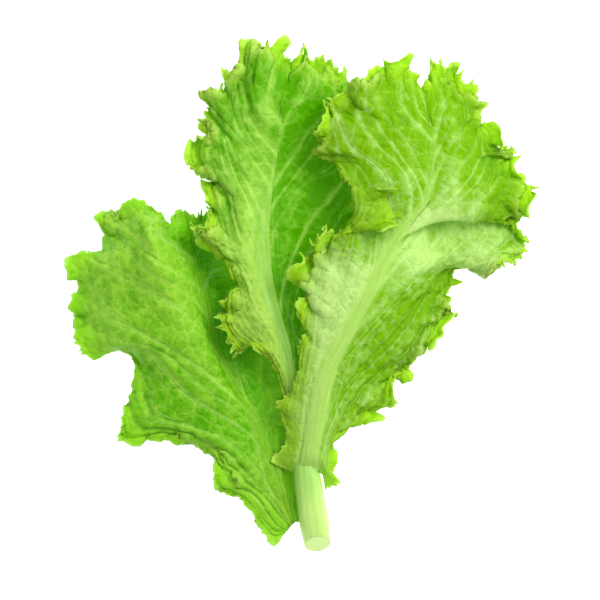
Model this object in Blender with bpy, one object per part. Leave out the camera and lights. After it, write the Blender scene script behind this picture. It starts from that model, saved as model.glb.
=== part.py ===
"""Sprig of frilly leaf lettuce: three large leaves on one short cut stem, lying on a flat surface.

Every leaf is one thin closed solid worked out from a net of hand-chosen curves. A rib runs from the
stem to near the tip, and on each side of it further curves (rails) run beside the rib, the last of them
along the leaf's edge. Veins run from the rib across the rails to the edge.

Lengths in this file are millimetres, turned into metres when the meshes are made. X points to the right
and Y to the leaf tips, seen from above, and Z points up from the surface that the sprig lies on.
"""
import math

import bpy
import numpy as np
from mathutils.bvhtree import BVHTree

METRES_PER_MM = 0.001

# Leaf blade and gaps
BLADE_HALF_THICKNESS = 0.36
LEAF_GAP = 1.3
FALL_OFF_SLOPE = 1.1
HEIGHT_CELL = 1.5
SOFT_LIFT = 0.6
SOFT_LANDING = 1.2
SPREADING_ROUNDS = 14
SHEET_HALF_WIDTH = 130.0
LANDING_REACH = 0.8

# Smoothing where a solid would cut through itself: rounds, share of the way, and when it spreads
EASING_ROUNDS = 60
EASING_ROUNDS_ALONE = 15
EASING_SHARE = 0.4
RIB_KEPT_WHEN_EASED = 0.9

# Fineness of the nets: columns run along the veins, rows run beside the rib
NET_COLUMNS = 512
EDGE_SAMPLES = 4001
RIB_GREATEST_SHARE = 0.45
RIB_ROWS = 8
BLADE_ROWS = 56
COLUMN_STEP_NEAR_RIB = 16
COLUMN_STEP_MIDWAY = 8
COLUMN_STEP_AT_EDGE = 4
ROWS_NEAR_RIB = (0, 4, 8, 20, 32)
ROWS_MIDWAY = (42, 50)
ROWS_AT_EDGE = (57, 64)

# Waves of the leaf edge: length along the edge, greatest swing, and width of the waved band
LONG_WAVE = (34.0, 0.38, 42.0)
SHORT_WAVE = (14.5, 0.82, 15.0)
WAVE_RISE_POWER = 1.5
WIDEST_WAVED_SHARE = 0.8
CALM_BELOW_WIDTH = 30.0
EDGE_SMOOTHING_WIDE = 15.0
EDGE_SMOOTHING_NARROW = 5.0
LOBE_RISE_POWER = 2.5
NOTCH_RISE_POWER = 5

# Unevenness of the waves: drift of their phase and strength, each over so many wavelengths
PHASE_DRIFT = 1.4
PHASE_DRIFT_LENGTHS = 4.0
MEAN_STRENGTH = 0.75
STRENGTH_DRIFT = 0.3
STRENGTH_DRIFT_LENGTHS = 2.7
RIPPLE_STRETCHES = (1.0, 1.37, 0.71)
RIPPLE_PEAK = 2.2

# Stem: a tapered round stalk from its cut end to the foot of the right leaf
STEM_CUT_END = (7.6, -104.6, 5.4)
STEM_LEAF_END = (2.4, -73.75, 6.2)
STEM_HALF_WIDTHS = (5.6, 6.4, 6.1, 5.9, 5.9)
STEM_HALF_HEIGHTS = (5.9, 6.5, 6.4, 6.4, 6.5)
STEM_CUT_LEAN = 0.62
STEM_SIDES = 36
STEM_RINGS = 13
STEM_RIDGES = 5
STEM_RIDGE_HEIGHT = 0.02

RIGHT_GREEN = (0.21, 0.47, 0.035, 1.0)
MIDDLE_GREEN = (0.16, 0.42, 0.025, 1.0)
LEFT_GREEN = (0.13, 0.36, 0.03, 1.0)
STEM_PALE = (0.55, 0.76, 0.27, 1.0)
LEAF_ROUGHNESS = 0.42
STEM_ROUGHNESS = 0.4

# Each rib point is (place along the leaf 0 to 1, x, y, z), with the rib's half width and depth beside it
LEFT_LEAF = {
    "name": "left_leaf",
    "seed": 3,
    "rib": [
        (0.00, -3.4, -96.3, 4.6), (0.10, -9.0, -82.0, 5.2), (0.21, -15.5, -64.5, 5.0),
        (0.32, -20.6, -48.6, 4.6), (0.41, -28.0, -36.6, 4.2), (0.51, -36.6, -19.4, 4.0),
        (0.60, -40.0, -4.3, 3.8), (0.69, -42.1, 6.5, 3.8), (0.80, -44.0, 14.5, 4.0),
        (0.90, -45.2, 19.0, 4.3), (1.00, -46.2, 23.0, 4.8),
    ],
    "rib_half_width": [(0.0, 1.6), (0.1, 3.0), (0.3, 2.8), (0.6, 1.6), (1.0, 0.6)],
    "rib_depth": [(0.0, 1.2), (0.1, 2.4), (0.3, 2.4), (0.6, 1.5), (1.0, 0.3)],
    "swing": {
        "left": [(0.0, 0.1), (0.08, 0.5), (0.16, 1.0), (1.0, 1.0)],
        "right": [(0.0, 0.1), (0.3, 0.4), (1.0, 1.0)],
    },
    "left": [
        (0.25, [
            (0.00, -4.3, -97.4, 4.4), (0.10, -12.0, -83.5, 6.0), (0.21, -20.5, -64.0, 7.5),
            (0.32, -28.5, -47.0, 10.0), (0.41, -37.0, -33.0, 13.0), (0.51, -46.0, -14.0, 18.0),
            (0.60, -52.0, 2.0, 22.0), (0.69, -56.0, 12.0, 25.5), (0.78, -59.0, 19.0, 27.0),
            (0.86, -60.0, 25.0, 25.0), (0.93, -56.0, 28.0, 15.0),
        ]),
        (0.60, [
            (0.00, -5.6, -99.0, 4.0), (0.05, -11.0, -93.5, 4.5), (0.10, -18.0, -85.0, 6.0),
            (0.16, -27.0, -73.0, 8.0), (0.21, -36.0, -62.0, 10.0), (0.27, -52.0, -50.0, 11.0),
            (0.33, -55.0, -40.0, 13.0), (0.40, -60.0, -24.0, 16.0), (0.47, -70.0, -12.0, 17.0),
            (0.55, -74.0, 2.0, 18.0), (0.63, -74.0, 13.0, 20.0), (0.71, -71.0, 22.0, 22.0),
            (0.79, -67.0, 30.0, 23.0), (0.86, -63.0, 32.0, 21.0), (0.93, -56.5, 30.5, 13.0),
        ]),
        (1.00, [
            (0.00, -7.0, -100.8, 3.5), (0.02, -8.8, -103.2, 2.5), (0.035, -11.0, -105.3, 2.0),
            (0.05, -14.5, -102.5, 2.0), (0.07, -18.5, -96.0, 3.0),
            (0.09, -22.0, -90.0, 4.0), (0.11, -28.0, -84.0, 3.0), (0.13, -35.7, -79.8, 2.0),
            (0.15, -38.5, -74.0, 3.0), (0.17, -37.0, -67.0, 5.0), (0.19, -42.0, -61.5, 4.0),
            (0.21, -51.6, -58.9, 3.0), (0.235, -60.2, -57.6, 3.0), (0.255, -68.8, -58.9, 3.0),
            (0.28, -77.0, -61.2, 1.5), (0.30, -75.5, -53.0, 2.5), (0.325, -73.1, -43.0, 3.5),
            (0.35, -70.0, -33.0, 5.0), (0.375, -72.0, -25.0, 5.0), (0.40, -77.4, -18.3, 5.0),
            (0.42, -83.5, -19.5, 4.0), (0.445, -89.4, -24.1, 2.0), (0.47, -95.0, -18.5, 1.5),
            (0.50, -97.0, -9.0, 2.0), (0.53, -97.5, -1.5, 2.0), (0.555, -94.6, 4.5, 4.0),
            (0.575, -95.5, 9.5, 3.0), (0.595, -99.2, 13.8, 2.0), (0.615, -97.3, 18.5, 3.0),
            (0.635, -93.0, 17.3, 5.0), (0.655, -90.0, 21.0, 5.0), (0.675, -86.0, 21.5, 7.0),
            (0.695, -83.5, 27.5, 6.0), (0.715, -80.5, 28.5, 7.0), (0.74, -85.5, 34.8, 1.8),
            (0.765, -81.5, 37.0, 3.0), (0.785, -77.4, 36.0, 7.0), (0.81, -73.5, 42.0, 12.0),
            (0.835, -69.0, 42.0, 13.0), (0.86, -64.5, 41.0, 14.0), (0.885, -61.0, 38.5, 15.0),
            (0.91, -58.5, 35.0, 14.0), (0.94, -55.2, 31.5, 10.0), (0.97, -53.3, 37.0, 8.0),
            (1.00, -49.8, 38.0, 7.0),
        ]),
    ],
    "right": [
        (0.50, [
            (0.00, -2.4, -95.2, 4.4), (0.10, -6.2, -82.5, 3.5), (0.21, -10.0, -66.0, 2.5),
            (0.32, -14.0, -50.0, 2.0), (0.41, -19.5, -38.0, 2.0), (0.51, -28.0, -21.0, 2.0),
            (0.60, -31.0, -6.0, 2.0), (0.69, -34.0, 6.0, 2.2), (0.80, -38.0, 18.0, 3.0),
            (0.90, -42.0, 27.0, 4.5),
        ]),
        (1.00, [
            (0.00, -1.5, -94.2, 4.0), (0.05, -2.2, -90.0, 2.6), (0.10, -3.1, -84.0, 2.0),
            (0.15, -4.4, -76.0, 1.6), (0.21, -5.0, -67.0, 1.2), (0.27, -4.5, -58.0, 1.2),
            (0.33, -4.0, -48.0, 1.0), (0.40, -5.0, -36.0, 1.5), (0.47, -8.0, -24.0, 2.0),
            (0.55, -14.0, -12.0, 2.5), (0.63, -20.0, 0.0, 2.5), (0.71, -25.0, 10.0, 3.0),
            (0.78, -29.0, 20.0, 3.5), (0.84, -33.0, 31.0, 5.0), (0.89, -38.5, 36.5, 7.0),
            (0.93, -42.5, 37.5, 7.5), (0.965, -46.0, 36.5, 7.0), (1.00, -49.8, 38.0, 7.0),
        ]),
    ],
}

MIDDLE_LEAF = {
    "name": "middle_leaf",
    "seed": 5,
    "rib": [
        (0.00, 1.0, -73.3, 6.4), (0.07, 0.0, -60.0, 7.5), (0.14, -1.0, -46.0, 9.0),
        (0.21, -2.5, -32.0, 11.0), (0.28, -5.0, -19.0, 12.5), (0.35, -8.5, -7.0, 13.5),
        (0.42, -11.5, 5.0, 14.0), (0.50, -13.0, 17.0, 14.5), (0.57, -13.5, 29.0, 15.0),
        (0.64, -12.8, 40.0, 15.5), (0.71, -11.5, 51.0, 16.0), (0.78, -10.0, 61.0, 17.0),
        (0.86, -8.5, 70.0, 18.0), (0.93, -8.0, 77.0, 19.0), (1.00, -8.0, 83.0, 20.0),
    ],
    "rib_half_width": [(0.0, 3.6), (0.2, 3.6), (0.5, 3.0), (0.8, 1.8), (1.0, 0.8)],
    "rib_depth": [(0.0, 4.4), (0.2, 4.0), (0.5, 2.8), (0.8, 1.4), (1.0, 0.4)],
    "swing": {
        "left": [(0.0, 0.1), (0.16, 0.5), (0.22, 1.0), (1.0, 1.0)],
        "right": [(0.0, 0.1), (0.3, 0.4), (0.7, 0.8), (1.0, 1.0)],
    },
    "left": [
        (0.35, [
            (0.00, -1.6, -73.4, 6.2), (0.07, -3.0, -59.0, 7.0), (0.14, -4.0, -44.0, 9.0),
            (0.21, -8.0, -28.0, 13.0), (0.28, -14.0, -14.0, 15.0), (0.35, -18.0, -2.0, 17.0),
            (0.42, -20.5, 10.0, 18.0), (0.50, -23.0, 23.0, 18.5), (0.57, -24.0, 35.0, 19.0),
            (0.64, -23.5, 46.0, 19.5), (0.71, -23.0, 57.0, 20.0), (0.78, -22.0, 68.0, 21.0),
            (0.86, -19.0, 79.0, 22.0), (0.93, -15.0, 85.0, 23.0),
        ]),
        (0.70, [
            (0.00, -3.0, -73.4, 5.6), (0.07, -4.5, -58.0, 6.5), (0.14, -6.0, -43.0, 8.5),
            (0.21, -13.0, -24.0, 13.0), (0.28, -24.0, -13.0, 13.0), (0.35, -27.0, 1.0, 15.0),
            (0.42, -28.0, 14.0, 17.0), (0.50, -32.0, 30.0, 17.0), (0.57, -32.0, 46.0, 18.0),
            (0.64, -36.0, 58.0, 18.0), (0.71, -34.0, 70.0, 19.0), (0.78, -31.0, 82.0, 19.5),
            (0.86, -23.0, 93.0, 20.0), (0.93, -14.0, 97.0, 21.0),
        ]),
        (1.00, [
            (0.00, -4.2, -73.4, 5.0), (0.03, -5.0, -66.0, 5.0), (0.07, -6.0, -57.0, 6.0),
            (0.11, -7.0, -47.0, 7.0), (0.15, -7.0, -38.0, 9.0), (0.18, -9.5, -29.0, 11.0),
            (0.21, -15.5, -22.5, 12.5), (0.235, -21.5, -19.4, 13.0), (0.26, -27.5, -23.7, 9.0),
            (0.28, -30.5, -17.0, 10.0), (0.30, -34.8, -9.5, 9.0), (0.32, -32.0, -5.0, 11.0),
            (0.34, -32.5, 2.0, 11.0), (0.365, -25.5, 5.0, 15.0), (0.385, -26.5, 10.0, 15.0),
            (0.41, -31.0, 19.0, 15.0), (0.435, -36.6, 24.5, 15.0), (0.46, -43.0, 28.8, 14.0),
            (0.48, -42.0, 35.0, 14.0), (0.50, -37.8, 38.0, 15.0), (0.525, -38.8, 44.0, 15.0),
            (0.545, -40.2, 48.6, 14.0), (0.57, -36.0, 55.0, 16.0), (0.585, -33.5, 58.5, 17.0),
            (0.60, -39.6, 57.5, 16.0), (0.62, -44.0, 54.8, 15.0), (0.64, -47.8, 60.0, 14.0),
            (0.66, -46.0, 67.5, 14.0), (0.68, -40.0, 69.7, 16.0), (0.70, -38.3, 73.1, 17.0),
            (0.715, -42.0, 74.5, 16.0), (0.735, -40.5, 81.0, 16.0), (0.755, -40.5, 86.5, 15.0),
            (0.78, -34.0, 90.0, 17.0), (0.80, -31.5, 97.5, 15.0), (0.825, -26.0, 101.0, 16.0),
            (0.845, -25.0, 107.0, 13.0), (0.865, -20.2, 110.0, 13.0), (0.885, -16.5, 107.6, 15.0),
            (0.91, -12.0, 108.8, 14.0), (0.935, -8.6, 110.5, 13.0), (0.96, -6.5, 106.5, 14.0),
            (0.98, -5.5, 102.5, 16.0), (1.00, -3.2, 101.0, 17.0),
        ]),
    ],
    "right": [
        (0.35, [
            (0.00, 3.2, -73.4, 5.8), (0.07, 2.8, -60.0, 6.0), (0.14, 2.2, -46.0, 7.5),
            (0.21, 1.5, -30.0, 9.0), (0.28, 0.5, -16.0, 10.0), (0.35, -0.5, -3.0, 11.0),
            (0.42, 0.0, 10.0, 11.0), (0.50, 0.5, 23.0, 11.5), (0.57, 1.5, 36.0, 12.0),
            (0.64, 2.5, 48.0, 12.5), (0.71, 3.0, 60.0, 13.0), (0.78, 3.0, 72.0, 14.0),
            (0.86, 2.0, 82.0, 16.0), (0.93, -1.0, 87.0, 19.0),
        ]),
        (0.70, [
            (0.00, 4.6, -73.4, 4.8), (0.07, 5.0, -60.0, 5.0), (0.14, 4.8, -46.0, 6.0),
            (0.21, 5.0, -31.0, 8.0), (0.28, 6.5, -16.0, 9.0), (0.35, 8.0, -3.0, 9.5),
            (0.42, 11.0, 10.0, 10.0), (0.50, 14.0, 23.0, 11.0), (0.57, 16.0, 36.0, 11.5),
            (0.64, 17.5, 49.0, 12.0), (0.71, 18.0, 62.0, 12.5), (0.78, 16.0, 76.0, 14.0),
            (0.86, 12.0, 88.0, 16.0), (0.93, 5.0, 94.0, 18.0),
        ]),
        (1.00, [
            (0.00, 5.6, -73.4, 4.0), (0.05, 6.0, -67.0, 4.0), (0.11, 6.3, -56.0, 5.0),
            (0.17, 6.5, -43.0, 6.5), (0.23, 7.5, -29.0, 7.5), (0.29, 10.0, -15.0, 8.0),
            (0.35, 13.5, -2.0, 9.0), (0.41, 18.0, 11.0, 10.0), (0.47, 22.0, 24.0, 11.0),
            (0.53, 25.0, 36.0, 11.0), (0.59, 27.5, 48.0, 12.0), (0.65, 29.0, 60.0, 12.0),
            (0.70, 29.0, 72.0, 12.0), (0.74, 28.0, 82.0, 12.0), (0.775, 25.0, 91.0, 12.0),
            (0.80, 22.5, 96.0, 11.0), (0.825, 19.0, 96.5, 12.0), (0.85, 15.0, 98.8, 12.0),
            (0.875, 12.0, 101.5, 12.0), (0.90, 8.5, 102.3, 13.0), (0.925, 4.8, 103.5, 14.0),
            (0.95, 2.0, 107.6, 12.5), (0.975, -1.8, 104.4, 15.0), (1.00, -3.2, 101.0, 17.0),
        ]),
    ],
}

RIGHT_LEAF = {
    "name": "right_leaf",
    "seed": 8,
    "rib": [
        (0.00, 3.4, -73.3, 13.0), (0.08, 6.0, -56.0, 14.5), (0.15, 8.6, -43.0, 16.0),
        (0.23, 12.9, -28.0, 18.0), (0.30, 19.4, -17.2, 20.0), (0.37, 25.8, -5.2, 22.0),
        (0.43, 31.0, 4.3, 23.5), (0.49, 35.7, 15.0, 25.0), (0.55, 40.9, 24.5, 26.0),
        (0.61, 47.3, 33.5, 26.5), (0.67, 53.5, 41.0, 26.5), (0.74, 55.5, 51.6, 26.0),
        (0.81, 56.8, 62.0, 24.5), (0.88, 56.0, 70.0, 23.0), (0.94, 55.0, 76.0, 21.5),
        (1.00, 54.0, 80.0, 20.0),
    ],
    "rib_half_width": [(0.0, 5.0), (0.15, 5.0), (0.4, 4.2), (0.55, 2.6), (0.8, 1.6), (1.0, 0.8)],
    "rib_depth": [(0.0, 4.9), (0.15, 4.7), (0.4, 3.6), (0.55, 2.4), (0.8, 1.2), (1.0, 0.4)],
    "swing": {
        "left": [(0.0, 0.1), (0.2, 0.8), (0.42, 1.0), (0.47, 0.2), (0.6, 0.2), (0.65, 1.0), (1.0, 1.0)],
        "right": [(0.0, 0.2), (0.1, 0.8), (0.2, 1.0), (1.0, 1.0)],
    },
    "left": [
        (0.35, [
            (0.00, 0.0, -73.5, 12.6), (0.08, 1.5, -58.0, 13.5), (0.15, 3.0, -42.0, 15.0),
            (0.23, 7.0, -26.0, 18.0), (0.30, 12.0, -13.0, 21.0), (0.37, 17.0, -1.0, 24.0),
            (0.43, 22.0, 9.0, 25.5), (0.49, 26.5, 19.0, 25.5), (0.55, 31.0, 30.0, 25.0),
            (0.61, 36.0, 42.0, 26.0), (0.67, 40.0, 52.0, 28.0), (0.74, 41.0, 62.0, 27.0),
            (0.81, 42.0, 72.0, 26.0), (0.88, 44.0, 79.0, 24.0), (0.94, 49.0, 82.0, 22.0),
        ]),
        (0.70, [
            (0.00, -1.3, -73.6, 11.6), (0.08, -2.5, -58.0, 11.5), (0.15, -3.0, -42.0, 12.5),
            (0.23, 2.0, -23.0, 17.5), (0.30, 5.0, -8.0, 21.0), (0.37, 7.0, 7.0, 24.0),
            (0.43, 12.0, 18.0, 26.0), (0.49, 18.0, 28.0, 28.5), (0.55, 20.5, 38.0, 29.5),
            (0.61, 22.0, 48.0, 29.0), (0.67, 20.0, 58.0, 28.0), (0.74, 20.0, 70.0, 27.0),
            (0.81, 26.0, 82.0, 25.0), (0.88, 36.0, 90.0, 22.0), (0.94, 44.0, 92.0, 20.0),
        ]),
        (1.00, [
            (0.00, -2.6, -73.6, 10.5), (0.015, -8.0, -71.5, 8.0), (0.03, -12.0, -69.0, 5.0),
            (0.05, -7.5, -62.5, 8.0), (0.075, -5.2, -56.0, 9.5), (0.095, -7.3, -51.6, 8.0),
            (0.115, -10.0, -46.4, 7.0), (0.135, -8.2, -43.0, 8.5), (0.155, -4.3, -38.7, 11.0),
            (0.18, -1.7, -33.5, 14.0), (0.205, 0.0, -26.7, 16.0), (0.235, -0.5, -19.0, 17.0),
            (0.265, 3.0, -11.0, 19.0), (0.29, -0.5, -3.0, 18.0), (0.315, 2.5, 4.0, 20.0),
            (0.34, 4.5, 11.0, 21.0), (0.36, -1.0, 17.0, 20.0), (0.385, 5.0, 20.5, 22.0),
            (0.41, 8.0, 26.0, 22.0), (0.435, 15.0, 29.0, 24.0), (0.46, 21.0, 31.0, 26.0),
            (0.49, 30.0, 30.5, 30.0), (0.515, 39.5, 32.0, 31.5), (0.535, 45.0, 38.0, 32.0),
            (0.555, 42.0, 43.5, 32.0), (0.58, 33.0, 46.5, 31.5), (0.61, 24.5, 47.5, 29.5),
            (0.635, 19.5, 52.0, 27.0), (0.66, 15.0, 58.0, 26.0), (0.685, 8.6, 60.2, 24.0),
            (0.71, 7.3, 69.0, 23.0), (0.74, 8.8, 77.5, 23.0), (0.77, 11.0, 84.0, 22.5),
            (0.80, 19.0, 88.0, 22.0), (0.825, 25.0, 93.0, 20.0), (0.85, 32.0, 97.6, 18.0),
            (0.88, 36.6, 99.0, 17.0), (0.905, 40.9, 102.8, 16.0), (0.93, 47.0, 101.0, 16.0),
            (0.945, 45.0, 98.0, 18.0), (0.965, 49.6, 96.3, 18.0), (0.985, 50.2, 91.5, 18.0),
            (1.00, 52.3, 88.0, 17.0),
        ]),
    ],
    "right": [
        (0.35, [
            (0.00, 9.0, -74.2, 10.5), (0.06, 10.8, -65.0, 11.5), (0.12, 14.0, -50.0, 12.0),
            (0.18, 20.0, -35.0, 13.5), (0.24, 28.0, -22.0, 15.0), (0.30, 36.0, -9.0, 17.0),
            (0.36, 43.0, 1.0, 18.5), (0.42, 49.0, 9.0, 19.0), (0.48, 55.0, 18.0, 18.0),
            (0.52, 59.0, 28.0, 16.0), (0.545, 61.0, 38.0, 15.5), (0.565, 62.0, 34.5, 22.0),
            (0.60, 64.0, 41.0, 25.0), (0.66, 68.0, 50.0, 24.0), (0.74, 67.0, 62.0, 22.0),
            (0.82, 65.0, 74.0, 20.0), (0.90, 62.0, 82.0, 19.0),
        ]),
        (0.70, [
            (0.00, 10.4, -78.0, 7.0), (0.06, 12.8, -67.0, 7.0), (0.12, 20.0, -52.0, 6.0),
            (0.18, 32.0, -36.0, 6.5), (0.24, 45.0, -22.0, 7.0), (0.30, 52.0, -7.0, 8.0),
            (0.36, 58.0, 5.0, 9.0), (0.42, 65.0, 13.0, 8.5), (0.48, 77.0, 19.5, 8.0),
            (0.52, 81.0, 28.0, 7.5), (0.545, 82.0, 36.5, 8.0), (0.565, 80.0, 33.5, 14.0),
            (0.60, 82.0, 42.0, 17.0), (0.66, 83.0, 53.0, 15.0), (0.74, 77.0, 66.0, 14.0),
            (0.82, 71.0, 78.0, 13.0), (0.90, 63.0, 89.0, 14.0),
        ]),
        (1.00, [
            (0.00, 10.8, -81.5, 4.0), (0.02, 17.5, -79.0, 2.5), (0.04, 14.8, -74.0, 3.0),
            (0.06, 15.0, -66.0, 3.0), (0.08, 16.0, -57.0, 3.0), (0.10, 22.0, -53.5, 2.0),
            (0.12, 30.0, -49.5, 1.5), (0.14, 36.5, -48.0, 1.0), (0.155, 40.2, -41.0, 1.5),
            (0.17, 40.5, -33.0, 3.5), (0.19, 48.0, -32.0, 2.5), (0.21, 48.5, -22.5, 3.0),
            (0.23, 52.0, -18.0, 2.5), (0.25, 58.5, -14.0, 2.0), (0.27, 63.5, -7.0, 2.0),
            (0.29, 62.0, -4.0, 3.0), (0.31, 64.0, -1.0, 3.0), (0.335, 63.5, 4.5, 3.0),
            (0.36, 69.0, 7.0, 3.0), (0.385, 65.5, 10.0, 4.0), (0.41, 66.5, 14.5, 5.0),
            (0.44, 77.0, 17.0, 4.0), (0.47, 84.0, 14.2, 2.0), (0.50, 90.0, 14.7, 2.0),
            (0.525, 96.5, 20.0, 2.0), (0.55, 97.0, 27.0, 3.0), (0.575, 92.6, 33.0, 6.0),
            (0.60, 94.6, 36.5, 4.5), (0.63, 98.5, 46.5, 1.2), (0.655, 95.9, 50.5, 2.0),
            (0.68, 92.5, 56.5, 3.0), (0.705, 92.0, 62.5, 1.8), (0.73, 83.5, 66.5, 5.5),
            (0.75, 84.0, 72.0, 8.0), (0.775, 77.0, 74.8, 10.0), (0.80, 76.2, 79.5, 10.0),
            (0.825, 80.8, 86.6, 7.5), (0.845, 74.3, 86.8, 9.0), (0.86, 74.4, 91.5, 8.0),
            (0.88, 71.0, 94.0, 9.0), (0.90, 67.5, 99.5, 9.0), (0.925, 61.0, 98.8, 12.0),
            (0.95, 57.0, 102.8, 12.0), (0.97, 54.0, 98.5, 14.0), (0.985, 54.6, 92.5, 16.0),
            (1.00, 52.3, 88.0, 17.0),
        ]),
    ],
}


def slopes_through(knots, points):
    """Slope at every knot: that of the parabola through the knot and its two neighbours."""
    step = np.diff(knots)
    step = step.reshape((-1,) + (1,) * (points.ndim - 1))
    chord = np.diff(points, axis=0) / step
    slope = np.empty_like(points)
    slope[1:-1] = (chord[:-1] * step[1:] + chord[1:] * step[:-1]) / (step[:-1] + step[1:])
    slope[0] = chord[0]
    slope[-1] = chord[-1]
    return slope


def blend_cubic(start, end, start_slope, end_slope, length, part):
    """Cubic from start to end with the given slopes, at part (0 to 1) of its length."""
    square = part * part
    cube = square * part
    return (
        start * (2 * cube - 3 * square + 1)
        + start_slope * length * (cube - 2 * square + part)
        + end * (3 * square - 2 * cube)
        + end_slope * length * (cube - square)
    )


def curve_through(listed, at):
    """Smooth curve through rows of (knot, values...), read at the given places."""
    table = np.array(listed, dtype=float)
    knots = table[:, 0]
    points = table[:, 1:]
    slope = slopes_through(knots, points)
    i = np.clip(np.searchsorted(knots, at, side="right") - 1, 0, len(knots) - 2)
    length = (knots[i + 1] - knots[i])[:, None]
    part = (at - knots[i])[:, None] / length
    return blend_cubic(points[i], points[i + 1], slope[i], slope[i + 1], length, part)


def spread_columns(leaf):
    """Places of the columns along the leaf, closer together where its two edges are longer."""
    fine = np.linspace(0.0, 1.0, EDGE_SAMPLES)
    reach = np.zeros(len(fine) - 1)
    for side in ("left", "right"):
        edge = curve_through(leaf[side][-1][1], fine)
        reach += np.linalg.norm(np.diff(edge, axis=0), axis=1)
    walked = np.concatenate([[0.0], np.cumsum(reach)])
    return np.interp(np.linspace(0.0, walked[-1], NET_COLUMNS + 1), walked, fine)


def smooth_along(points, spread):
    """Weighted mean of each point's neighbours along a curve, whose two ends stay where they are."""
    reach = int(3 * spread)
    weights = np.exp(-0.5 * (np.arange(-reach, reach + 1) / spread) ** 2)
    weights /= weights.sum()
    before = 2 * points[0] - points[reach:0:-1]
    after = 2 * points[-1] - points[-2:-reach - 2:-1]
    padded = np.concatenate([before, points, after])
    return np.stack([np.convolve(padded[:, k], weights, mode="valid") for k in range(3)], axis=1)


def walked_length(points):
    """Distance walked along a curve from its first point to each of its points."""
    steps = np.linalg.norm(np.diff(points, axis=0), axis=1)
    return np.concatenate([[0.0], np.cumsum(steps)])


def seeded_ripple(place, wavelength, random):
    """Sum of three sines near the wavelength, of seeded phase, from about -1 to 1."""
    total = np.zeros_like(place)
    for stretch in RIPPLE_STRETCHES:
        total += np.sin(2 * math.pi * place / (wavelength * stretch) + random.uniform(0, 2 * math.pi))
    return total / RIPPLE_PEAK


def edge_curves(leaf, columns):
    """The whole edge, left then right, as a calm line, its lobes, and the finer notches."""
    left = curve_through(leaf["left"][-1][1], columns)
    right = curve_through(leaf["right"][-1][1], columns)
    whole = np.concatenate([left, right[-2::-1]])
    spacing = walked_length(whole)[-1] / (len(whole) - 1)
    calm = smooth_along(whole, EDGE_SMOOTHING_WIDE / spacing)
    lobed = smooth_along(whole, EDGE_SMOOTHING_NARROW / spacing)
    return calm, lobed - calm, whole - lobed


def row_places(length, half_width):
    """Places of the rows on each column: the first few within the rib, the rest out to the edge."""
    rib_share = np.minimum(half_width / length, RIB_GREATEST_SHARE)[:, None]
    within = np.linspace(0.0, 1.0, RIB_ROWS + 1)[None, :] * rib_share
    beyond = rib_share + (1.0 - rib_share) * np.linspace(0.0, 1.0, BLADE_ROWS + 1)[None, 1:]
    return np.concatenate([within, beyond], axis=1)


def read_rails(knots, rails, places):
    """Smooth curve across the rails in every column, read at that column's own places."""
    slope = slopes_through(knots, rails)
    i = np.clip(np.searchsorted(knots, places, side="right") - 1, 0, len(knots) - 2)
    column = np.arange(places.shape[0])[:, None]
    length = (knots[i + 1] - knots[i])[:, :, None]
    part = (places - knots[i])[:, :, None] / length
    return blend_cubic(
        rails[i, column], rails[i + 1, column], slope[i, column], slope[i + 1, column], length, part
    )


def calm_side(leaf, side, columns, rib, edge, lobes, notches):
    """One side of a leaf before its edge is waved: a net of columns by rows, with each row's place."""
    knots = [0.0]
    rails = [rib]
    for place, listed in leaf[side][:-1]:
        tip = rib[-1] + (edge[-1] - rib[-1]) * place
        rails.append(curve_through(listed + [(1.0, *tip)], columns))
        knots.append(place)
    knots.append(1.0)
    rails.append(edge)
    rails = np.array(rails)
    length = np.linalg.norm(np.diff(rails, axis=0), axis=2).sum(axis=0)
    half_width = curve_through(leaf["rib_half_width"], columns)[:, 0]
    places = row_places(length, half_width)
    net = read_rails(np.array(knots), rails, places)
    net += lobes[:, None, :] * places[:, :, None] ** LOBE_RISE_POWER
    net += notches[:, None, :] * places[:, :, None] ** NOTCH_RISE_POWER
    return net, places, length, half_width


def net_normals(net, flip):
    """Unit normals of a net, upwards on a flat leaf."""
    along = np.gradient(net, axis=0)
    across = np.gradient(net, axis=1)
    normal = np.cross(along, across) * flip
    size = np.linalg.norm(normal, axis=2, keepdims=True)
    return normal / np.maximum(size, 1e-9)


def wave_side(net, places, length, edge_place, waves, flip):
    """Swing each vein's outer stretch up and down, more towards the edge, keeping its length."""
    normal = net_normals(net, flip)
    steps = np.diff(net, axis=1)
    size = np.linalg.norm(steps, axis=2, keepdims=True)
    outward = steps / np.maximum(size, 1e-9)
    from_edge = (1.0 - places) * length[:, None]
    calmer_when_narrow = np.minimum(1.0, length / CALM_BELOW_WIDTH)
    swing = np.zeros(places.shape)
    for (wavelength, greatest, band), phase, strength in waves:
        waved_width = np.minimum(band, WIDEST_WAVED_SHARE * length)[:, None]
        ramp = np.clip(1.0 - from_edge / waved_width, 0.0, 1.0) ** WAVE_RISE_POWER
        turn = np.sin(2 * math.pi * edge_place / wavelength + phase) * greatest * strength
        swing += ramp * (turn * calmer_when_narrow)[:, None]
    swing = 0.5 * (swing[:, 1:] + swing[:, :-1])[:, :, None]
    mean_normal = 0.5 * (normal[:, 1:] + normal[:, :-1])
    moved = size * (np.cos(swing) * outward + np.sin(swing) * mean_normal)
    waved = net.copy()
    waved[:, 1:] = net[:, :1] + np.cumsum(moved, axis=1)
    return waved


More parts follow.
